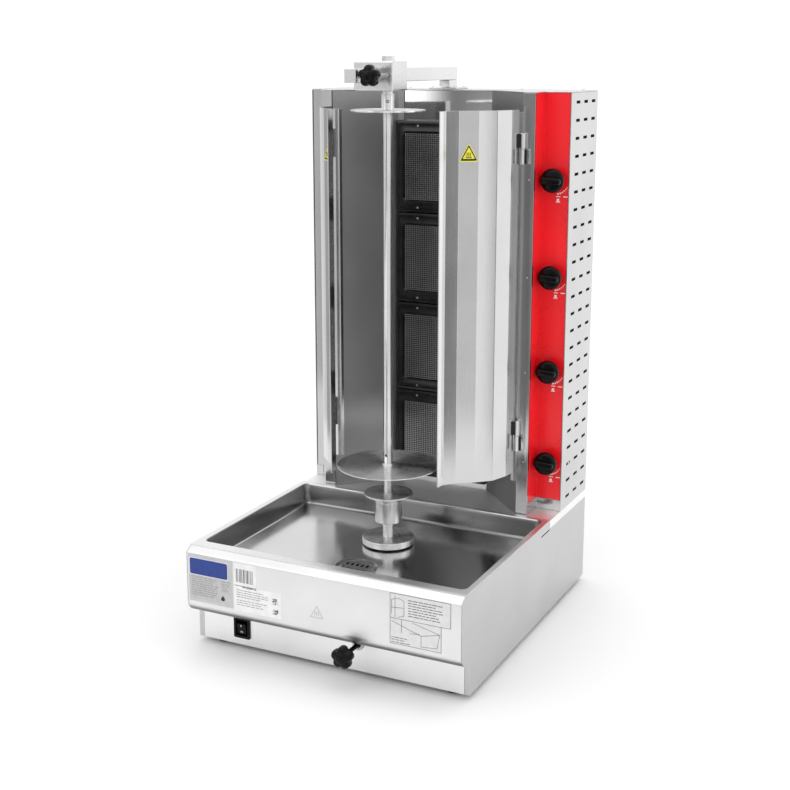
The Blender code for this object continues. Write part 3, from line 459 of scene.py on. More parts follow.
def cut_out(obj, build):
    """Cuts the shape that the function builds out of the object."""
    bm = bmesh.new()
    build(bm)
    holes = bpy.data.objects.new("holes", to_mesh(bm, "holes"))
    bpy.context.scene.collection.objects.link(holes)
    cut = obj.modifiers.new("holes", "BOOLEAN")
    cut.operation = "DIFFERENCE"
    cut.solver = "EXACT"
    cut.object = holes
    graph = bpy.context.evaluated_depsgraph_get()
    mesh = bpy.data.meshes.new_from_object(obj.evaluated_get(graph))
    obj.modifiers.clear()
    obj.data = mesh
    bpy.data.objects.remove(holes, do_unlink=True)


def soft_edges(obj, width, segments=2, angle=30):
    bevel = obj.modifiers.new("soft edges", "BEVEL")
    bevel.width = width
    bevel.segments = segments
    bevel.limit_method = "ANGLE"
    bevel.angle_limit = math.radians(angle)
    bevel.harden_normals = True
    return obj


def skin(node, material, width=0.0004, segments=2, angle=30):
    """The CAD node's own shape with its edges softened."""
    bm = bmesh.new()
    bm.from_mesh(cad[node].data)
    bmesh.ops.remove_doubles(bm, verts=bm.verts, dist=2e-6)
    bmesh.ops.dissolve_limit(bm, angle_limit=math.radians(0.5), verts=bm.verts, edges=bm.edges)
    obj = shown(node + "_skin", to_mesh(bm, node + "_skin"), material, cad[node]["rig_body"], [node])
    return soft_edges(obj, width, segments, angle)


def rounded(points, radius, steps=4, closed=False):
    """The points with each corner turned into an arc."""
    points = [Vector(p) for p in points]
    count = len(points)
    made = []
    for i, point in enumerate(points):
        if not closed and i in (0, count - 1):
            made.append(point)
            continue
        before = points[i - 1] - point
        after = points[(i + 1) % count] - point
        bend = math.pi - before.angle(after)
        size = radius[i] if isinstance(radius, (list, tuple)) else radius
        reach = size * math.tan(bend / 2)
        reach = min(reach, before.length * 0.48, after.length * 0.48)
        if bend < 0.02 or reach < 1e-7:
            made.append(point)
            continue
        start, end = point + before.normalized() * reach, point + after.normalized() * reach
        for k in range(steps + 1):
            t = k / steps
            made.append(start * (1 - t) ** 2 + point * (2 * t * (1 - t)) + end * t ** 2)
    return made


def thick_line(points, thickness):
    """The closed outline of a folded sheet whose middle runs through the points."""
    points = [Vector(p) for p in points]
    sides = ([], [])
    for i, point in enumerate(points):
        before = (point - points[i - 1]).normalized() if i else None
        after = (points[i + 1] - point).normalized() if i + 1 < len(points) else None
        along = ((before or after) + (after or before)).normalized()
        across = Vector((-along.y, along.x))
        straight = Vector((-(before or after).y, (before or after).x))
        reach = thickness / 2 / across.dot(straight)
        sides[0].append(point + across * reach)
        sides[1].append(point - across * reach)
    return sides[0], sides[1]


def folded(name, plan, low, high, material, body, replaces=(), thickness=SHEET, radius=0.002,
           place=None, edge=0.00025, steps=4):
    """A sheet folded along parallel lines, with round folds. Its plan is in X and Y, swept along Z."""
    first, second = thick_line(rounded(plan, radius, steps), thickness)
    bm = bmesh.new()
    rings = [[[bm.verts.new((p.x, p.y, z)) for p in line] for line in (first, second)] for z in (low, high)]
    count = len(first)
    for i in range(count - 1):
        for side in (0, 1):
            bm.faces.new((rings[0][side][i], rings[0][side][i + 1], rings[1][side][i + 1], rings[1][side][i]))
        for end in (0, 1):
            bm.faces.new((rings[end][0][i], rings[end][0][i + 1], rings[end][1][i + 1], rings[end][1][i]))
    for i in (0, count - 1):
        bm.faces.new((rings[0][0][i], rings[0][1][i], rings[1][1][i], rings[1][0][i]))
    if place:
        bm.transform(place)
    obj = shown(name, to_mesh(bm, name), material, body, replaces)
    return soft_edges(obj, edge, 2, 60)


SIDEWAYS = Matrix(((0, 0, 1, 0), (1, 0, 0, 0), (0, 1, 0, 0), (0, 0, 0, 1)))  # X, Y, Z become Y, Z, X


def turned_mesh(bm, profile, place, steps=48):
    """Adds a solid of revolution about local Z, its profile as (radius, height) from end to end."""
    rings = []
    for radius, height in profile:
        turns = [math.tau * k / steps for k in range(steps if radius > 1e-7 else 1)]
        rings.append([bm.verts.new(place @ Vector((radius * math.cos(turn), radius * math.sin(turn), height)))
                      for turn in turns])
    closed = (Vector(profile[0]) - Vector(profile[-1])).length < 1e-7 and profile[0][0] > 1e-7
    if closed:
        bmesh.ops.delete(bm, geom=rings.pop(), context="VERTS")
    pairs = list(zip(rings, rings[1:])) + ([(rings[-1], rings[0])] if closed else [])
    for a, b in pairs:
        for k in range(steps):
            j = (k + 1) % steps
            corners = [a[k % len(a)], a[j % len(a)], b[j % len(b)], b[k % len(b)]]
            bm.faces.new(list(dict.fromkeys(corners)))


def placed(at, degrees, axis):
    """Turned about one of the axes, then moved."""
    return Matrix.Translation(at) @ Matrix.Rotation(math.radians(degrees), 4, axis)


def facing(axis, at=(0, 0, 0)):
    return Matrix.Translation(at) @ Vector((0, 0, 1)).rotation_difference(Vector(axis)).to_matrix().to_4x4()


def turned(name, profile, material, body, replaces=(), at=(0, 0, 0), axis=(0, 0, 1), radius=0.0006,
           steps=64, crease=35):
    """One turned piece, its corners rounded to the radius."""
    bm = bmesh.new()
    closed = profile[0] == profile[-1]
    points = rounded(profile[:-1] if closed else profile, radius, 3, closed)
    if closed:
        points.append(points[0])
    turned_mesh(bm, [tuple(p) for p in points], facing(axis, at), steps)
    return shown(name, to_mesh(bm, name), material, body, replaces, crease)


def lofted(bm, rings, place=None):
    """Adds a closed skin through rings of equal length."""
    rows = new_rows(bm, [[place @ Vector(p) for p in ring] if place else ring for ring in rings])
    bridge(bm, rows)
    bm.faces.new(rows[0][::-1])
    bm.faces.new(rows[-1])


def block(bm, low, high, place=None):
    x0, y0, z0 = low
    x1, y1, z1 = high
    rings = [[(x0, y0, z), (x1, y0, z), (x1, y1, z), (x0, y1, z)] for z in (z0, z1)]
    lofted(bm, rings, place)


def tube(bm, points, radius, sides=8):
    """A pipe through the points, closed at its ends."""
    points = [Vector(p) for p in points]
    rings = []
    normal = None
    for i, point in enumerate(points):
        ahead = points[min(i + 1, len(points) - 1)] - points[max(i - 1, 0)]
        ahead.normalize()
        if normal is None:
            normal = ahead.orthogonal().normalized()
        normal = (normal - ahead * normal.dot(ahead)).normalized()
        other = ahead.cross(normal)
        turns = [math.tau * k / sides for k in range(sides)]
        rings.append([point + (normal * math.cos(turn) + other * math.sin(turn)) * radius for turn in turns])
    lofted(bm, rings)


def group(name, build, material, body, replaces=(), crease=35, edge=None):
    """One piece from a function that fills a bmesh."""
    bm = bmesh.new()
    build(bm)
    obj = shown(name, to_mesh(bm, name), material, body, replaces, crease)
    if edge:
        soft_edges(obj, edge)
    return obj


HEAD_PROFILE = [(0.0, 0.30), (0.30, 0.30), (0.34, 0.92), (0.62, 1.0), (0.90, 0.72), (1.0, 0.2)]


def heads(name, places, axis, radius, height=0.35):
    """Domed screw or rivet heads, all in one piece."""
    profile = [(r * radius, h * height * radius) for r, h in HEAD_PROFILE]
    profile += [(radius, -0.25 * radius), (0.0, -0.25 * radius)]

    def build(bm):
        for at in places:
            turned_mesh(bm, profile, facing(axis, at), 16)
    group(name, build, ZINC, "body")


# Base


def base_pieces():
    for node, material, slot, width in (
            ("base_side_left", BRUSHED_DEEP, "steel", 0.0006), ("base_side_right", BRUSHED_DEEP, "steel", 0.0006),
            ("base_front_panel", PANEL_STEEL, "steel", 0.0003), ("base_back_panel", BRUSHED_ALONG, "steel", 0.0003),
            ("base_floor", ZINC, "zinc", 0.0003), ("rear_deck", DECK_STEEL, "steel", 0.0006)):
        skin(node, material, width)
    for node in ("foot_front_left", "foot_front_right", "foot_rear_left", "foot_rear_right"):
        low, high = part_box(node)
        centre = ((low.x + high.x) / 2, (low.y + high.y) / 2, 0)
        profile = [(0, high.z), (0.017, high.z), (0.0165, 0.006), (0.015, 0.0015), (0.0145, 0), (0.006, 0),
                   (0.005, 0.002), (0, 0.002)]
        turned(node + "_pad", profile, RUBBER, "body", [node], centre, radius=0.0008, steps=40)


RIM_TOP = heights("drip_tray")[1]
TRAY_FLOOR = 0.155
NOSE_TOP = 0.185
SLOPE_BACK = FRONT + 0.014
APRON_LOW = 0.0915
APRON_CURVE = 0.022
APRON_ROLL = 0.02125  # the radius of its rolled lower edge, at the middle of the sheet
DRAIN = (0.002, FRONT + 0.133)
DRAIN_RADIUS = 0.041


def ring_of(low, high, radius, steps=6):
    """A rounded rectangle, anticlockwise from its right side."""
    (x0, y0), (x1, y1) = low, high
    corners = ((x1 - radius, y1 - radius, 0), (x0 + radius, y1 - radius, 90),
               (x0 + radius, y0 + radius, 180), (x1 - radius, y0 + radius, 270))
    return [(x + radius * math.cos(math.radians(turn + 90 * k / steps)),
             y + radius * math.sin(math.radians(turn + 90 * k / steps)))
            for x, y, turn in corners for k in range(steps + 1)]


TRAY_X, TRAY_Y0, TRAY_Y1 = 0.257, FRONT + 0.039, FRONT + 0.408  # the pan's opening


def drip_tray():
    """The pressed tray: a flat rim, a rolled lip, leaning walls and a flat floor."""
    outer = ring_of((-HALF + 0.0001, SLOPE_BACK), (HALF - 0.0001, DECK_FRONT - 0.0003), 0.0004)
    rings = [[(x, y, RIM_TOP) for x, y in outer]]

    def inset(amount, z, radius):
        ring = ring_of((-TRAY_X + amount, TRAY_Y0 + amount), (TRAY_X - amount, TRAY_Y1 - amount), radius)
        rings.append([(x, y, z) for x, y in ring])

    inset(-0.003, RIM_TOP, 0.013)
    for k in range(1, 5):
        turn = math.radians(90 * k / 4)
        inset(-0.003 + 0.003 * math.sin(turn), RIM_TOP - 0.003 * (1 - math.cos(turn)), 0.012)
    inset(0.0045, TRAY_FLOOR + 0.006, 0.011)
    for k in range(1, 6):
        turn = math.radians(90 * k / 5)
        inset(0.0045 + 0.006 * (1 - math.cos(turn)), TRAY_FLOOR + 0.006 * (1 - math.sin(turn)), 0.009)
    bm = bmesh.new()
    rows = new_rows(bm, rings)
    bridge(bm, rows)
    bm.faces.new(rows[-1])
    bmesh.ops.recalc_face_normals(bm, faces=bm.faces)
    if sum(f.normal.z * f.calc_area() for f in bm.faces) < 0:
        bmesh.ops.reverse_faces(bm, faces=bm.faces)
    mesh = bpy.data.meshes.new("drip_tray_pan")
    bm.to_mesh(mesh)
    bm.free()
    tray = shown("drip_tray_pan", mesh, TRAY_STEEL, "body", ["drip_tray"], 40)
    tray.data.materials.append(APRON_STEEL)
    for polygon in tray.data.polygons:
        polygon.material_index = 1 if polygon.center.z > RIM_TOP - 0.0005 else 0
    thicken(tray, 0.0013)

    def holes(bm):
        reach = DRAIN_RADIUS - 0.003
        turned_mesh(bm, [(0, 0.02), (reach, 0.02), (reach, -0.02), (0, -0.02)],
                    Matrix.Translation((*DRAIN, TRAY_FLOOR)), 48)
        block(bm, (-0.012, SPIT_Y - 0.035, TRAY_FLOOR - 0.02), (0.012, SPIT_Y + 0.035, TRAY_FLOOR + 0.02))
    cut_out(tray, holes)
    tray.data.set_sharp_from_angle(angle=math.radians(40))
    roll = [(FRONT + APRON_CURVE + APRON_ROLL * math.cos(math.radians(a)),
             APRON_LOW + APRON_ROLL * math.sin(math.radians(a))) for a in range(180, 269, 11)]
    fold = [(SLOPE_BACK + 0.0035, RIM_TOP - 0.0003), (FRONT + 0.0008, NOSE_TOP)] + roll
    folded("apron", fold, -WALL + 0.0003, WALL - 0.0003, APRON_STEEL, "body", (), 0.0014,
           [0.0, 0.004] + [0.0] * len(roll), SIDEWAYS)


def drain():
    """The pressed round cover: a raised rim and two rows of slots."""
    x, y = DRAIN
    z = TRAY_FLOOR + 0.0003
    profile = [(0, z + 0.0012), (0.029, z + 0.0012), (0.033, z + 0.0018), (0.037, z + 0.0030),
               (0.0405, z + 0.0012), (0.041, z), (0.037, z), (0.034, z + 0.0006), (0, z + 0.0002)]
    cover = turned("drain_cover", profile, TRAY_STEEL, "body", ["drain_grate"], (x, y, 0), radius=0.0008)

    def slots(bm):
        for row in (-1, 1):
            for i in range(5):
                cx, cy = x + 0.0098 * (i - 2), y + 0.0105 * row
                ring = ring_of((cx - 0.0024, cy - 0.0062), (cx + 0.0024, cy + 0.0062), 0.00235, 3)
                lofted(bm, [[(px, py, h) for px, py in ring] for h in (z - 0.01, z + 0.01)])
    cut_out(cover, slots)


# Labels on the apron, each a thin sheet on the steel


def on_apron(bm, ring, low, high):
    """A flat shape on the apron's face, between two heights off it."""
    lofted(bm, [[(x, FRONT - h, z) for x, z in ring] for h in (low, high)])


def label(name, x0, x1, z0, z1, material, lift=PRINT_LIFT, radius=0.001):
    """A rounded sheet stuck on the apron's face."""
    def build(bm):
        on_apron(bm, ring_of((x0, z0), (x1, z1), radius, 4), lift * 0.1, lift)
    group(name, build, material, "body", crease=20)


def marks(name, boxes, material, lift=PRINT_LIFT * 1.6):
    """Flat printed marks on the apron, all in one piece."""
    def build(bm):
        for x0, z0, x1, z1 in boxes:
            block(bm, (x0, FRONT - lift, z0), (x1, FRONT - lift * 0.6, z1))
    group(name, build, material, "body")


def lines_of_print(x0, x1, z_top, rows, pitch, height, rng):
    """Short dashes that stand for lines of small print."""
    made = []
    for row in range(rows):
        z = z_top - pitch * row
        x = x0
        stop = x1 - rng.random() * (x1 - x0) * 0.25
        while x < stop - 0.003:
            run = 0.003 + rng.random() * 0.007
            made.append((x, z - height, min(x + run, stop), z))
            x += run + 0.0014
    return made


def checker(x0, z0, size, cells, rng):
    step = size / cells
    return [(x0 + step * i, z0 + step * j, x0 + step * (i + 1), z0 + step * (j + 1))
            for i in range(cells) for j in range(cells) if rng.random() < 0.5]


def apron_labels():
    rng = random.Random(11)
    up = PRINT_LIFT
    label("data_plate", -0.2655, -0.172, 0.0945, 0.184, LABEL_GREY)
    label("blank_badge", -0.2625, -0.183, 0.1465, 0.1765, BLUE, up * 6, 0.0035)
    label("badge_edge", -0.2640, -0.1815, 0.1450, 0.1780, LABEL_CLEAR, up * 4, 0.004)
    ruled = [(-0.262, 0.143 - 0.0042 * i, -0.198 if i > 5 else -0.176, 0.1433 - 0.0042 * i) for i in range(11)]
    ruled += [(-0.262 + 0.011 * i, 0.101, -0.2617 + 0.011 * i, 0.143) for i in range(6)]
    marks("data_plate_rules", ruled, GREY_INK)
    marks("data_plate_print", lines_of_print(-0.260, -0.200, 0.1422, 9, 0.0042, 0.0016, rng)
          + lines_of_print(-0.196, -0.176, 0.1422, 5, 0.0042, 0.0016, rng), GREY_INK, up * 1.5)
    flame(-0.194, 0.1045, 0.011, up * 1.8)
    label("white_label_upper", -0.1690, -0.1235, 0.1400, 0.1830, LABEL_WHITE, up, 0.0006)
    label("white_label_lower", -0.1690, -0.0730, 0.0930, 0.1410, LABEL_WHITE, up, 0.0006)
    bars, x = [], -0.165
    while x < -0.130:
        wide = rng.choice((0.0007, 0.0012, 0.0018))
        bars.append((x, 0.147, x + wide, 0.172))
        x += wide + rng.choice((0.0008, 0.0013, 0.002))
    marks("label_bars", bars, BLACK_INK)
    squares = [square for z in (0.118, 0.0985) for square in checker(-0.0905, z, 0.011, 8, rng)]
    marks("label_squares", squares, BLACK_INK)
    heading = [(-0.152, 0.1375, -0.146, 0.1400), (-0.1445, 0.1375, -0.1300, 0.1402),
               (-0.1285, 0.1375, -0.1235, 0.1395)]
    marks("label_print", lines_of_print(-0.165, -0.100, 0.1330, 4, 0.0042, 0.0013, rng)
          + lines_of_print(-0.165, -0.100, 0.1140, 3, 0.0042, 0.0013, rng) + heading, GREY_INK)
    label("guide_upper", 0.138, 0.2500, 0.1390, 0.1840, LABEL_CLEAR, up, 0.002)
    label("guide_lower", 0.138, 0.2330, 0.0930, 0.1395, LABEL_CLEAR)
    marks("guide_print", lines_of_print(0.172, 0.238, 0.1760, 7, 0.0046, 0.0015, rng)
          + lines_of_print(0.141, 0.176, 0.1060, 3, 0.0042, 0.0012, rng), GUIDE_INK)
    guide_drawing(up * 1.6)
    outline_triangle(-0.002, 0.121, 0.0245, up)


def flame(x, z, size, lift):
    """A small plain flame shape."""
    side = [(0.0, 0.0), (0.32, 0.10), (0.42, 0.35), (0.30, 0.62), (0.12, 0.80), (0.06, 1.0)]
    outline = [(x + a * size, z + b * size) for a, b in side]
    outline += [(x - a * size * 0.9, z + b * size * 0.93) for a, b in reversed(side[1:-1])]

    def build(bm):
        on_apron(bm, outline, lift * 0.6, lift)
    group("plate_flame", build, BLACK_INK, "body")


def outline_triangle(x, z, size, lift):
    """A faint triangle pressed on the apron."""
    def build(bm):
        corners = [(x - size / 2, z - size * 0.43), (x + size / 2, z - size * 0.43), (x, z + size * 0.43)]
        frame_of(bm, corners, 0.0010, lift)
        for k in range(3):
            cx = x - 0.0035 + 0.0035 * k
            block(bm, (cx - 0.0005, FRONT - lift, z - 0.0065), (cx + 0.0005, FRONT - lift * 0.5, z + 0.001))
    group("apron_triangle", build, GREY_PALE, "body")


def frame_of(bm, corners, width, lift):
    """Strips along the sides of a shape on the apron."""
    for (ax, az), (bx, bz) in zip(corners, corners[1:] + corners[:1]):
        along = Vector((bx - ax, bz - az)).normalized()
        across = Vector((-along.y, along.x)) * width / 2
        ring = [(ax + across.x, az + across.y), (bx + across.x, bz + across.y),
                (bx - across.x, bz - across.y), (ax - across.x, az - across.y)]
        on_apron(bm, ring, lift * 0.5, lift)


def guide_drawing(lift):
    """A plain line drawing: a bracket above and an open box below."""
    strokes = [
        [(0.1415, 0.146), (0.1415, 0.172), (0.1545, 0.176), (0.1645, 0.172), (0.1645, 0.146), (0.1535, 0.142)],
        [(0.1415, 0.158), (0.1645, 0.160)],
        [(0.1480, 0.142), (0.1480, 0.180)],
        [(0.1600, 0.115), (0.1600, 0.139)],
        [(0.141, 0.134), (0.196, 0.1165), (0.2300, 0.1250), (0.180, 0.1370)],
        [(0.196, 0.1165), (0.196, 0.0975), (0.2250, 0.1000), (0.2300, 0.1250)],
        [(0.176, 0.117), (0.1935, 0.119)],
        [(0.1388, 0.1395), (0.1388, 0.1832), (0.2492, 0.1832), (0.2492, 0.1400), (0.2324, 0.1392), (0.1388, 0.1395)],
        [(0.2324, 0.1392), (0.2324, 0.0940), (0.1388, 0.0940), (0.1388, 0.1395)],
    ]

    def build(bm):
        for stroke in strokes:
            for (ax, az), (bx, bz) in zip(stroke, stroke[1:]):
                frame_of(bm, [(ax, az), (bx, bz)], 0.0007, lift)
    group("guide_drawing", build, GUIDE_INK, "body")


# Switch, lock screw and carriage

SWITCH = (-0.1775, BODY_FRONT, 0.043)
SWITCH_WIDE, SWITCH_HIGH = 0.017, 0.020  # half of its width and height
# The frame's section from its outer edge into the hole: the step inwards, the height and the corner's radius.
SWITCH_FRAME = ((0.0, 0.0003, 0.003), (0.0, 0.0020, 0.003), (0.0008, 0.0031, 0.0026), (0.0042, 0.0033, 0.0018),
                (0.0050, 0.0026, 0.0014), (0.0058, -0.0150, 0.0008))
ROCKER_SIDE = [(-0.0097, 0.0105), (-0.0090, 0.0050), (-0.0085, 0.0), (-0.0090, -0.0050), (-0.0097, -0.0105),
               (0.003, -0.0095), (0.006, 0.0), (0.003, 0.0095)]


def switch():
    x, y, z = SWITCH

    def frame_shape(bm):
        rings = []
        for inset, height, radius in SWITCH_FRAME:
            wide, high = SWITCH_WIDE - inset, SWITCH_HIGH - inset
            rings.append([(x + a, y - height, z + b) for a, b in ring_of((-wide, -high), (wide, high), radius)])
        rows = new_rows(bm, rings)
        bridge(bm, rows)
        bm.faces.new(rows[-1])
    thicken(group("switch_frame", frame_shape, BLACK, "body", ["switch_bezel"]), 0.0012)

    tilt = placed((x, y + 0.006, z), 8, "X")

    def rocker(bm):
        lofted(bm, [[(px, a, b) for a, b in ROCKER_SIDE] for px in (-0.0094, 0.0094)], tilt)
    soft_edges(group("switch_rocker_cap", rocker, BLACK, "power_rocker", ["switch_rocker"]), 0.0009, 3, 40)

    def line(bm):
        block(bm, (-0.0006, -0.00985, 0.0045), (0.0006, -0.0090, 0.0085), tilt)
    group("switch_line", line, WHITE_INK, "power_rocker")

    def circle(bm):
        place = tilt @ placed((0, -0.0092, -0.0062), 94, "X")
        section = [(0.0022, 0.0003), (0.0022, -0.0003), (0.0016, -0.0003), (0.0016, 0.0003), (0.0022, 0.0003)]
        turned_mesh(bm, section, place, 24)
    group("switch_ring", circle, WHITE_INK, "power_rocker")


GRIP_LOBES = 5
GRIP_FACE = ((0.55, 0.0), (0.80, 0.0004), (0.91, 0.0018), (0.975, 0.0045), (1.0, 0.008))
GRIP_CAP = [(0, -0.0034), (0.0030, -0.0032), (0.0058, -0.0026), (0.0082, -0.0016), (0.0098, -0.0004),
            (0.0104, 0.0010), (0.0104, 0.002), (0, 0.002)]


def star_grip(name, node, radius, depth, face, body):
    """A moulded five-lobed grip. Local Z runs to the rear from its front face."""
    place = placed(face, -90, "X")

    def build(bm):
        rings = []
        for scale, at in (*GRIP_FACE, (1.0, depth - 0.004), (0.96, depth - 0.001), (0.88, depth), (0.5, depth)):
            ring = []
            for turn in (math.tau * i / (GRIP_LOBES * 12) for i in range(GRIP_LOBES * 12)):
                swell = 0.89 + 0.11 * math.cos(GRIP_LOBES * turn) - 0.02 * math.cos(2 * GRIP_LOBES * turn)
                reach = radius * scale * swell
                ring.append((reach * math.sin(turn), -reach * math.cos(turn), at))
            rings.append(ring)
        lofted(bm, rings, place)
        hub = [(0, depth - 0.001), (radius * 0.52, depth - 0.001), (radius * 0.46, depth + 0.008),
               (radius * 0.42, depth + 0.010), (0, depth + 0.010)]
        turned_mesh(bm, hub, place, 32)
        turned_mesh(bm, GRIP_CAP, place, 32)
    group(name, build, BLACK, body, [node], 50)


def thread(name, node, start, end, material, body, radius=0.004, pitch=0.0012):
    """A threaded rod that runs to the rear: its surface rises and falls along its length."""
    length = end - start[1]
    turns = round(length / pitch)
    profile = [(0, 0), (radius * 0.86, 0)]
    for i in range(turns):
        profile += [(radius, (i + 0.5) * length / turns), (radius * 0.88, (i + 1) * length / turns)]
    profile += [(0, length)]
    turned(name, profile, material, body, [node], start, (0, 1, 0), 0, 14, 80)


LOCK_X, LOCK_FRONT, LOCK_Z = 0.060, FRONT - 0.032, 0.060


def carriage_pieces():
    skin("carriage_plate", ZINC, 0.0005)
    skin("gearbox", CASTING, 0.0012, 3)
    skin("drive_motor", ZINC, 0.0012, 3)
    star_grip("lock_grip", "lock_knob", 0.0205, 0.018, (LOCK_X, LOCK_FRONT, LOCK_Z), "lock_screw")
    thread("lock_thread", "lock_rod", (LOCK_X, LOCK_FRONT + 0.024, LOCK_Z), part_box("lock_rod")[1].y, DARK_STEEL,
           "lock_screw")

    bush = [(0.0066, -0.0015), (0.011, -0.0015), (0.0105, -0.0045), (0.0066, -0.0045), (0.0066, -0.0015)]
    turned("lock_bush", bush, ZINC, "body", (), (LOCK_X, BODY_FRONT + 0.0012, LOCK_Z), (0, 1, 0), 0, 32)


# Spit


SPIT_HOLE, GRUB_HEIGHT, GRUB_REACH = 0.329, 0.977, 0.0112
GRUB = [(0, 0.0002), (0.0014, 0.0002), (0.0016, 0.0012), (0.0026, 0.0012), (0.0028, -0.001), (0, -0.001)]


def on_spit(name, node, profile, material=PLATE_STEEL, radius=0.0004, steps=96):
    """A turned piece on the spit's axis."""
    return turned(name, profile, material, cad[node]["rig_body"], [node], (0, SPIT_Y, 0),
                  radius=radius, steps=steps)


def spit_pieces():
    low, top = heights("drive_flange")[0], 0.170
    on_spit("drive_disc", "drive_flange", [
        (0, 0.212), (0.0105, 0.212), (0.0105, top), (0.049, top), (0.049, 0.158), (0.008, 0.158), (0.008, low),
        (0, low)], radius=0.0010)
    low, high = heights("coupling_cup")
    on_spit("coupling_sleeve", "coupling_cup", [
        (PLATE_BORE, high), (0.0248, high), (0.0255, high - 0.0008), (0.0255, high - 0.006),
        (0.0250, high - 0.0066), (0.0250, high - 0.0078), (0.0255, high - 0.0084), (0.0255, low + 0.0008),
        (0.0248, low), (0.0108, low), (0.0108, 0.2123), (PLATE_BORE, 0.2123), (PLATE_BORE, high)],
        SPIT_STEEL, 0.0003)
    low, high = heights("drip_cap")
    on_spit("drip_disc", "drip_cap", [
        (PLATE_BORE, high), (0.046, high), (0.046, low), (PLATE_BORE, low), (PLATE_BORE, high)], radius=0.0008)
    # Each meat plate has a low collar. The lower plate is drawn a little thinner than its CAD solid.
    plates = (("lower", 0.012, 0.095, 0.0014, 128), ("upper", 0.0115, 0.067, 0.0, 96))
    for name, collar, edge, thinner, steps in plates:
        low, high = heights(f"{name}_meat_plate")
        on_spit(f"{name}_plate", f"{name}_meat_plate", [
            (PLATE_BORE, high), (collar, high), (collar, low + 0.003), (edge, low + 0.003), (edge, low + thinner),
            (PLATE_BORE, low + thinner), (PLATE_BORE, high)], steps=steps)
    low, high = heights("spit_shaft")
    shaft = on_spit("spit_rod", "spit_shaft", [(0, high), (0.009, high), (0.009, low), (0, low)], SPIT_STEEL, 0.0012,
                    48)
    cut_out(shaft, lambda bm: tube(bm, [(0, SPIT_Y + y, SPIT_HOLE) for y in (-0.02, 0.02)], 0.0026, 16))

    def grub(bm):
        for turn in (26, 206):
            axis = Vector((math.sin(math.radians(turn)), -math.cos(math.radians(turn)), 0))
            turned_mesh(bm, GRUB, facing(axis, Vector((0, SPIT_Y, GRUB_HEIGHT)) + axis * GRUB_REACH), 20)
    group("plate_grub_screws", grub, DARK_STEEL, "upper_plate")


# Top bar and clamp


CLAMP_X, CLAMP_Z = 0.0185, 1.022


def top_pieces():
    skin("top_bar", BAR_STEEL, 0.0012, 3)
    skin("bar_bracket", BAR_STEEL, 0.0012, 3)
    skin("clamp_block", BAR_STEEL, 0.0010, 3)
    heads("bracket_screws", [(x, FRONT + y, 0.996) for y in (0.5405, 0.587) for x in (-0.036, 0.010)], (0, 0, 1),
          SCREW_SMALL)
    low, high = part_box("clamp_stud")
    thread("clamp_thread", "clamp_stud", (CLAMP_X, low.y + 0.011, CLAMP_Z), high.y, ZINC, "clamp_screw")
    star_grip("clamp_grip", "clamp_knob", 0.0195, 0.018, (CLAMP_X, FRONT + 0.156, CLAMP_Z), "clamp_screw")


# Tower

LIP_LOW, LIP_TOP = 0.260, 0.956
LIP = ((0.1965, 0.0018), (0.190, 0.0012), (0.184, 0.004), (0.1805, 0.0085))
RIVET_X = 0.2105
RIVET_HEIGHTS = (0.835, 0.655, 0.475, 0.300)
BACK_SCREW_HEIGHTS = (0.215, 0.345, 0.475, 0.605, 0.735, 0.865, 0.975)


def tower_pieces():
    for node, material, slot, width, segments in (
            ("tower_side_left", BRUSHED_UP, "steel", 0.00025, 2),
            ("tower_side_right", BRUSHED_UP, "steel", 0.00025, 2),
            ("tower_back", BRUSHED_UP, "steel", 0.0003, 2), ("top_cover", BRUSHED_ALONG, "steel", 0.0005, 3),
            ("column_left", POST_STEEL, "steel", 0.0006, 3), ("post_right", POST_STEEL, "steel", 0.0006, 3),
            ("control_panel", RED, "red", 0.0014, 3)):
        skin(node, material, width, segments)
    for name, side in (("left", -1), ("right", 1)):
        plan = [(POST_INNER - 0.0005, POST_FRONT + 0.0018), (RECESS_HALF, RECESS_BACK),
                (RECESS_HALF - 0.010, RECESS_BACK + 0.006)]
        folded(f"reflector_{name}_sheet", [(side * x, y) for x, y in plan], TOWER_LOW, TOWER_HIGH, SIDE_STEEL, "body",
               [f"reflector_{name}"], 0.0012)
        folded(f"reflector_{name}_lip", [(side * x, POST_FRONT + y) for x, y in LIP], LIP_LOW, LIP_TOP, DOOR_STEEL,
               "body", (), 0.0012, 0.0015)
    skin("reflector_rear", REAR_STEEL, 0.0003)
    heads("post_rivets", [(side * RIVET_X, POST_FRONT - 0.00075, z) for side in (-1, 1) for z in RIVET_HEIGHTS],
          (0, -1, 0), 0.0019)
    edge = [(x, REAR, z) for x in (-0.258, 0.258) for z in BACK_SCREW_HEIGHTS]
    edge += [(x, REAR, BACK_SCREW_HEIGHTS[-1]) for x in (-0.13, 0.0, 0.13)]
    heads("back_screws", edge, (0, 1, 0), SCREW_LARGE)
    low_edge = [(x, REAR, z) for z in (0.025, 0.165) for x in (-0.250, -0.125, 0.0, 0.125, 0.250)]
    heads("base_back_screws", low_edge, (0, 1, 0), SCREW_LARGE)
    heads("cover_screws", [(x, REAR - 0.012, 0.992) for x in (-0.245, -0.12, 0.12, 0.245)], (0, 0, 1), SCREW_SMALL)


# Burners

BURNER_FRONT = FRONT + 0.507
CHAMBER_BACK = FRONT + 0.561
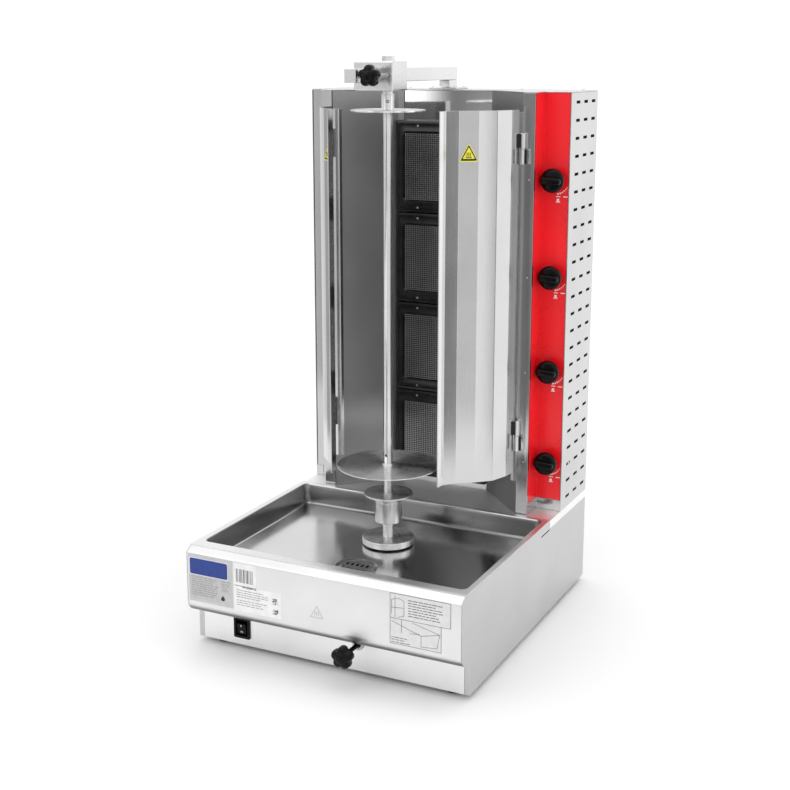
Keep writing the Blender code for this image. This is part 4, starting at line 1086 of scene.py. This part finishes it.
# The pressed frame's section, ring by ring: the rectangle it follows, as half its width and height, how far it
# stands outside that, its depth and its corner's radius.
FRAME_OUTER, FRAME_WINDOW = (0.0995, 0.089), (0.0845, 0.0680)
FRAME_SECTION = (
    (FRAME_OUTER, 0, 0.016, 0.002), (FRAME_OUTER, 0, 0.0012, 0.002), (FRAME_OUTER, -0.0012, 0.0, 0.002),
    (FRAME_OUTER, -0.0058, 0.0, 0.005), (FRAME_OUTER, -0.0064, 0.0012, 0.005), (FRAME_OUTER, -0.0078, 0.0012, 0.006),
    (FRAME_OUTER, -0.0084, 0.0, 0.006), (FRAME_WINDOW, 0.0035, 0.0, 0.013), (FRAME_WINDOW, 0.0025, -0.0009, 0.012),
    (FRAME_WINDOW, 0.0008, -0.0009, 0.011), (FRAME_WINDOW, -0.0006, 0.0010, 0.010),
    (FRAME_WINDOW, -0.0022, 0.0042, 0.009), (FRAME_WINDOW, -0.0022, 0.016, 0.009))
MESH_PITCH, MESH_WEAVE, MESH_WIRE = 0.0040, 0.00055, 0.00048
MESH_ACROSS, MESH_UP = int(2 * 0.0815 / MESH_PITCH), int(2 * 0.0650 / MESH_PITCH)


def burner(index, z):
    """A pressed black frame round a perforated tile, with a woven wire mesh in front."""
    name = f"burner_{index}"

    def frame_shape(bm):
        rings = []
        for (wide, high), grow, depth, radius in FRAME_SECTION:
            ring = ring_of((-wide - grow, -high - grow), (wide + grow, high + grow), radius)
            rings.append([(x, BURNER_FRONT + depth, z + b) for x, b in ring])
        rows = new_rows(bm, rings)
        bridge(bm, rows + rows[:1])
        block(bm, (-0.0745, BURNER_FRONT + 0.0165, z - 0.0595), (0.0745, CHAMBER_BACK, z + 0.0595))
    group(name + "_frame", frame_shape, ENAMEL, "body", [name], 50)

    def tile(bm):
        ring = ring_of((-0.0838, z - 0.0673), (0.0838, z + 0.0673), 0.006)
        lofted(bm, [[(x, BURNER_FRONT + depth, b) for x, b in ring] for depth in (0.0160, 0.0052)])
    group(name + "_tile", tile, TILE, "body", [f"burner_plaque_{index}"])

    def mesh(bm):
        depth = BURNER_FRONT + 0.0028
        columns = [(i - MESH_ACROSS / 2) * MESH_PITCH for i in range(MESH_ACROSS + 1)]
        rows = [z + (j - MESH_UP / 2) * MESH_PITCH for j in range(MESH_UP + 1)]
        for i, x in enumerate(columns):
            tube(bm, [(x, depth + MESH_WEAVE * (-1) ** (i + j), h) for j, h in enumerate(rows)], MESH_WIRE, 4)
        for j, h in enumerate(rows):
            tube(bm, [(x, depth - MESH_WEAVE * (-1) ** (i + j), h) for i, x in enumerate(columns)], MESH_WIRE, 4)
    group(name + "_mesh", mesh, WIRE, "body", (), 60)


def burners():
    for i, z in enumerate(BURNER_HEIGHTS, 1):
        burner(i, z)
    spots = [(x, BURNER_FRONT, z + up) for z in BURNER_HEIGHTS for up in (-0.0795, 0.0795) for x in (-0.052, 0.052)]
    heads("burner_screws", spots, (0, -1, 0), 0.0022, 0.5)


# Gas


HOSE_X, CABLE_X, INLET_Z = 0.243, 0.205, 0.240


def gas_pieces():
    skin("gas_manifold", BRASS, 0.0006)
    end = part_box("gas_manifold")[1].y
    profile = [(0.0045, 0.0), (0.0074, 0.0), (0.0074, 0.0015), (0.0060, 0.0050), (0.0072, 0.0055), (0.0062, 0.0085),
               (0.0045, 0.010), (0.0045, 0.0)]
    turned("hose_barb", profile, BRASS, "body", (), (HOSE_X, end - 0.0100, INLET_Z), (0, 1, 0), 0, 28)
    profile = [(0.0028, 0.018), (0.0045, 0.018), (0.0062, 0.0155), (0.0066, 0.0110), (0.0085, 0.0105),
               (0.0085, 0.0003), (0.0055, 0.0003), (0.0055, -0.006), (0.0028, -0.006), (0.0028, 0.018)]
    turned("gland_body", profile, BLACK, "body", ["cable_gland"], (CABLE_X, REAR, INLET_Z), (0, 1, 0),
           0.0004, 36)


# Control knobs

KNOB_SKIRT = [(0.0044, 0.0045), (0.0088, 0.0045), (0.0092, 0.0052), (0.0098, 0.0140), (0.0150, 0.0150),
              (0.0208, 0.0150), (0.0218, 0.0156), (0.0222, 0.0168), (0.0222, 0.0212), (0.0218, 0.0228),
              (0.0205, 0.0246), (0.0188, 0.0256), (0.0170, 0.0261), (0.0, 0.0262)]
KNOB_BORE = [(0.0044, 0.0045), (0.0044, 0.0240)]
# The grip bar's half length and half width at each depth, up to its rounded top
KNOB_BAR = ((0.0196, 0.0078, 0.0245), (0.0194, 0.0070, 0.0300), (0.0188, 0.0060, 0.0335), (0.0180, 0.0051, 0.0347),
            (0.0168, 0.0042, 0.0350))
KNOB_LEAN = 4  # degrees, how far its bar is turned from level
DIAL_RADIUS = 0.0262


def control_knob(index, z):
    face = placed((KNOB_X, TOWER_FRONT, z), 90, "X")  # local Z runs to the front

    def build(bm):
        turned_mesh(bm, KNOB_SKIRT, face, 72)
        turned_mesh(bm, KNOB_BORE, face, 32)
        rings = [[(a, b, depth) for a, b in ring_of((-half, -width), (half, width), width * 0.92)]
                 for half, width, depth in KNOB_BAR]
        lofted(bm, rings, face @ Matrix.Rotation(math.radians(-KNOB_LEAN), 4, "Z"))
    group(f"knob_{index}_grip", build, BLACK, f"knob_{index}", [f"control_knob_{index}"], 45)

    low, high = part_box(f"knob_spindle_{index}")
    turned(f"tap_{index}_stem", [(0, high.y - low.y), (0.004, high.y - low.y), (0.004, 0.0042), (0, 0.0042)], BRASS,
           f"tap_{index}", [f"knob_spindle_{index}"], (KNOB_X, low.y, z), (0, 1, 0), 0.0006, 32)

    def dial(bm):
        """White dots and bars on the film, growing round the knob's lower right."""
        y = TOWER_FRONT - SHEET / 2
        for k in range(7):
            turn = math.radians(-78 + 9.5 * k)
            size = 0.0030 - 0.00030 * k
            cx, cz = KNOB_X + DIAL_RADIUS * math.cos(turn), z + DIAL_RADIUS * math.sin(turn)
            if cx < HALF - 0.003:
                turned_mesh(bm, [(0, 0.0001), (size * 0.6, 0.0001), (size * 0.6, 0), (0, 0)],
                            facing((0, -1, 0), (cx, y, cz)), 12)
        for x0, x1, low, high in ((0.2445, 0.2525, 0.0312, 0.0296), (0.2580, 0.2665, 0.0312, 0.0296),
                                  (0.2458, 0.2504, 0.0400, 0.0345), (0.2442, 0.2522, 0.0412, 0.0394)):
            block(bm, (x0, y - 0.0001, z - low), (x1, y, z - high))
    group(f"dial_{index}", dial, WHITE_INK, "body")


# Doors and hinges

# The right door's plan, as steps from the hinge's axis, and how much further open the left one stands.
DOOR_FOLDS = ((-0.0068, -0.0030), (-0.011, -0.0285), (-0.023, -0.0645), (-0.049, -0.0885), (-0.078, -0.1095),
              (-0.095, -0.1285), (-0.0983, -0.1480))
LEFT_DOOR_OPEN = 5.5
HINGES = ((0.323, 0.353, 0.382), (0.863, 0.891, 0.919))
DOOR_LOW, DOOR_HIGH = heights("door_right")
HEM_STEP = 0.0012 * 0.98  # how far the hem's sheet stands in from the door's
STICKER_RIGHT, STICKER_LEFT = 0.887, 0.880
STICKER_SIZE = 0.0350


def door(side):
    name = "right" if side > 0 else "left"
    body = f"{name}_door"
    pivot = Vector((side * HINGE_X, HINGE_Y, 0))
    swing = Matrix.Identity(4)
    if side < 0:
        swing = placed(pivot, -LEFT_DOOR_OPEN, "Z") @ Matrix.Translation(-pivot)
    plan = [(side * (HINGE_X + x), HINGE_Y + y) for x, y in DOOR_FOLDS]
    folded(f"door_{name}_sheet", plan, DOOR_LOW, DOOR_HIGH, DOOR_STEEL, body, [f"door_{name}"], 0.0012,
           [0, 0.004, 0.005, 0.005, 0.005, 0.003, 0], swing, 0.0003)
    # The free edge is hemmed: a second layer folded back on the first.
    end, before = Vector(plan[-1]), Vector(plan[-2])
    along = (before - end).normalized()
    inward = Vector((along.y, -along.x)) * (side * HEM_STEP)
    hem = [tuple(end + inward + along * step) for step in (0, 0.010)]
    folded(f"door_{name}_hem", hem, DOOR_LOW + 0.001, DOOR_HIGH - 0.001, PANEL_STEEL, body, (), 0.0010,
           0.0, swing, 0.0003)

    def plates(bm, x0, x1, y0, y1, low, high, place=None):
        x0, x1 = sorted((pivot.x + side * x0, pivot.x + side * x1))
        block(bm, (x0, y0, low + 0.001), (x1, y1, high - 0.001), place)

    # Painted shade: these dark leaves stand for the shade beside the barrels and behind the door's edge.
    def leaves(bm):
        y0, y1 = HINGE_Y - 0.0062, HINGE_Y - 0.0045
        for low, middle, high in HINGES:
            plates(bm, -0.0062, -0.0095, y0, y1, low, high, swing)
            plates(bm, -0.0063, -0.0020, y0, y1, middle + 0.001, high, swing)
    group(f"door_{name}_leaves", leaves, DARK_STEEL, body, edge=0.0003)

    def barrels(bm):
        for _, middle, high in HINGES:
            profile = [(0, high - middle), (0.0038, high - middle), (0.005, high - middle - 0.001),
                       (0.005, 0.0006), (0.0045, 0.0002), (0, 0.0002)]
            turned_mesh(bm, profile, Matrix.Translation((pivot.x, pivot.y, middle)), 32)
    group(f"door_{name}_barrels", barrels, SPIT_STEEL, body, crease=40)

    def post_barrels(bm):
        for low, middle, _ in HINGES:
            profile = [(0, middle - low - 0.0002), (0.0045, middle - low - 0.0002), (0.005, middle - low - 0.0006),
                       (0.005, 0.001), (0.0038, 0), (0, 0)]
            turned_mesh(bm, profile, Matrix.Translation((pivot.x, pivot.y, low)), 32)
    group(f"post_{name}_barrels", post_barrels, SPIT_STEEL, "body", crease=40)

    # Painted shade: these dark leaves stand for the shade in the gap between the door and the post.
    def post_leaves(bm):
        for low, middle, _ in HINGES:
            plates(bm, 0.0054, 0.0085, HINGE_Y - 0.0020, POST_FRONT - 0.0008, low, middle)
    group(f"post_{name}_leaves", post_leaves, DARK_STEEL, "body", edge=0.0003)

    # A plain triangular sticker, a little lower on the left door.
    height = STICKER_RIGHT if side > 0 else STICKER_LEFT
    a, b = Vector((*plan[3], 0)), Vector((*plan[4], 0))
    middle, along = (a + b) / 2, (b - a).normalized()
    out = Vector((along.y, -along.x, 0))
    if out.y > 0:
        out = -out
    place = swing @ Matrix((
        (along.x, 0, out.x, middle.x + out.x * 0.0007),
        (along.y, 0, out.y, middle.y + out.y * 0.0007),
        (0, 1, 0, height),
        (0, 0, 0, 1),
    ))
    triangle_sticker(name, place, body)


def triangle_sticker(name, place, body):
    def plate(scale, low, high, radius):
        size = scale * STICKER_SIZE
        corners = [(size / 2 * x, size * y, 0) for x, y in ((-1, -0.42), (1, -0.42), (0, 0.50))]
        outline = rounded(corners, radius, 4, True)

        def build(bm):
            lofted(bm, [[(p.x, p.y, h) for p in outline] for h in (low, high)], place)
        return build
    group(f"sticker_{name}", plate(1.0, 0.0, 0.00012, 0.002), YELLOW, body)
    group(f"sticker_{name}_border", plate(0.88, 0.00012, 0.00020, 0.0015), BLACK_INK, body)
    group(f"sticker_{name}_field", plate(0.64, 0.00020, 0.00027, 0.001), YELLOW, body)

    def bars(bm):
        for k in (-1, 0, 1):
            x = 0.0032 * k
            points = [(x + 0.0007 * math.sin(t * 1.6), -0.0054 + 0.0014 * t, 0.00030) for t in range(6)]
            tube(bm, [place @ Vector(p) for p in points], 0.0006, 6)
        block(bm, (-0.0056, -0.0078, 0.00026), (0.0056, -0.0064, 0.00036), place)
    group(f"sticker_{name}_bars", bars, BLACK_INK, body)


add_camera()
add_studio()
add_floor()
area_light("key", (-1.2, -2.2, 2.6), (0, 0, 0.5), (1.8, 1.8), 10)
area_light("top", (0.2, 0.2, 2.9), (0, 0, 0.2), (2.4, 2.4), 12)
area_light("side", (2.6, 0.4, 1.6), (0, 0, 0.5), (1.2, 2.0), 4)

base_pieces()
drip_tray()
drain()
apron_labels()
switch()
carriage_pieces()
spit_pieces()
top_pieces()
tower_pieces()
burners()
gas_pieces()
for number, height in enumerate(KNOB_HEIGHTS, 1):
    control_knob(number, height)
door(1)
door(-1)
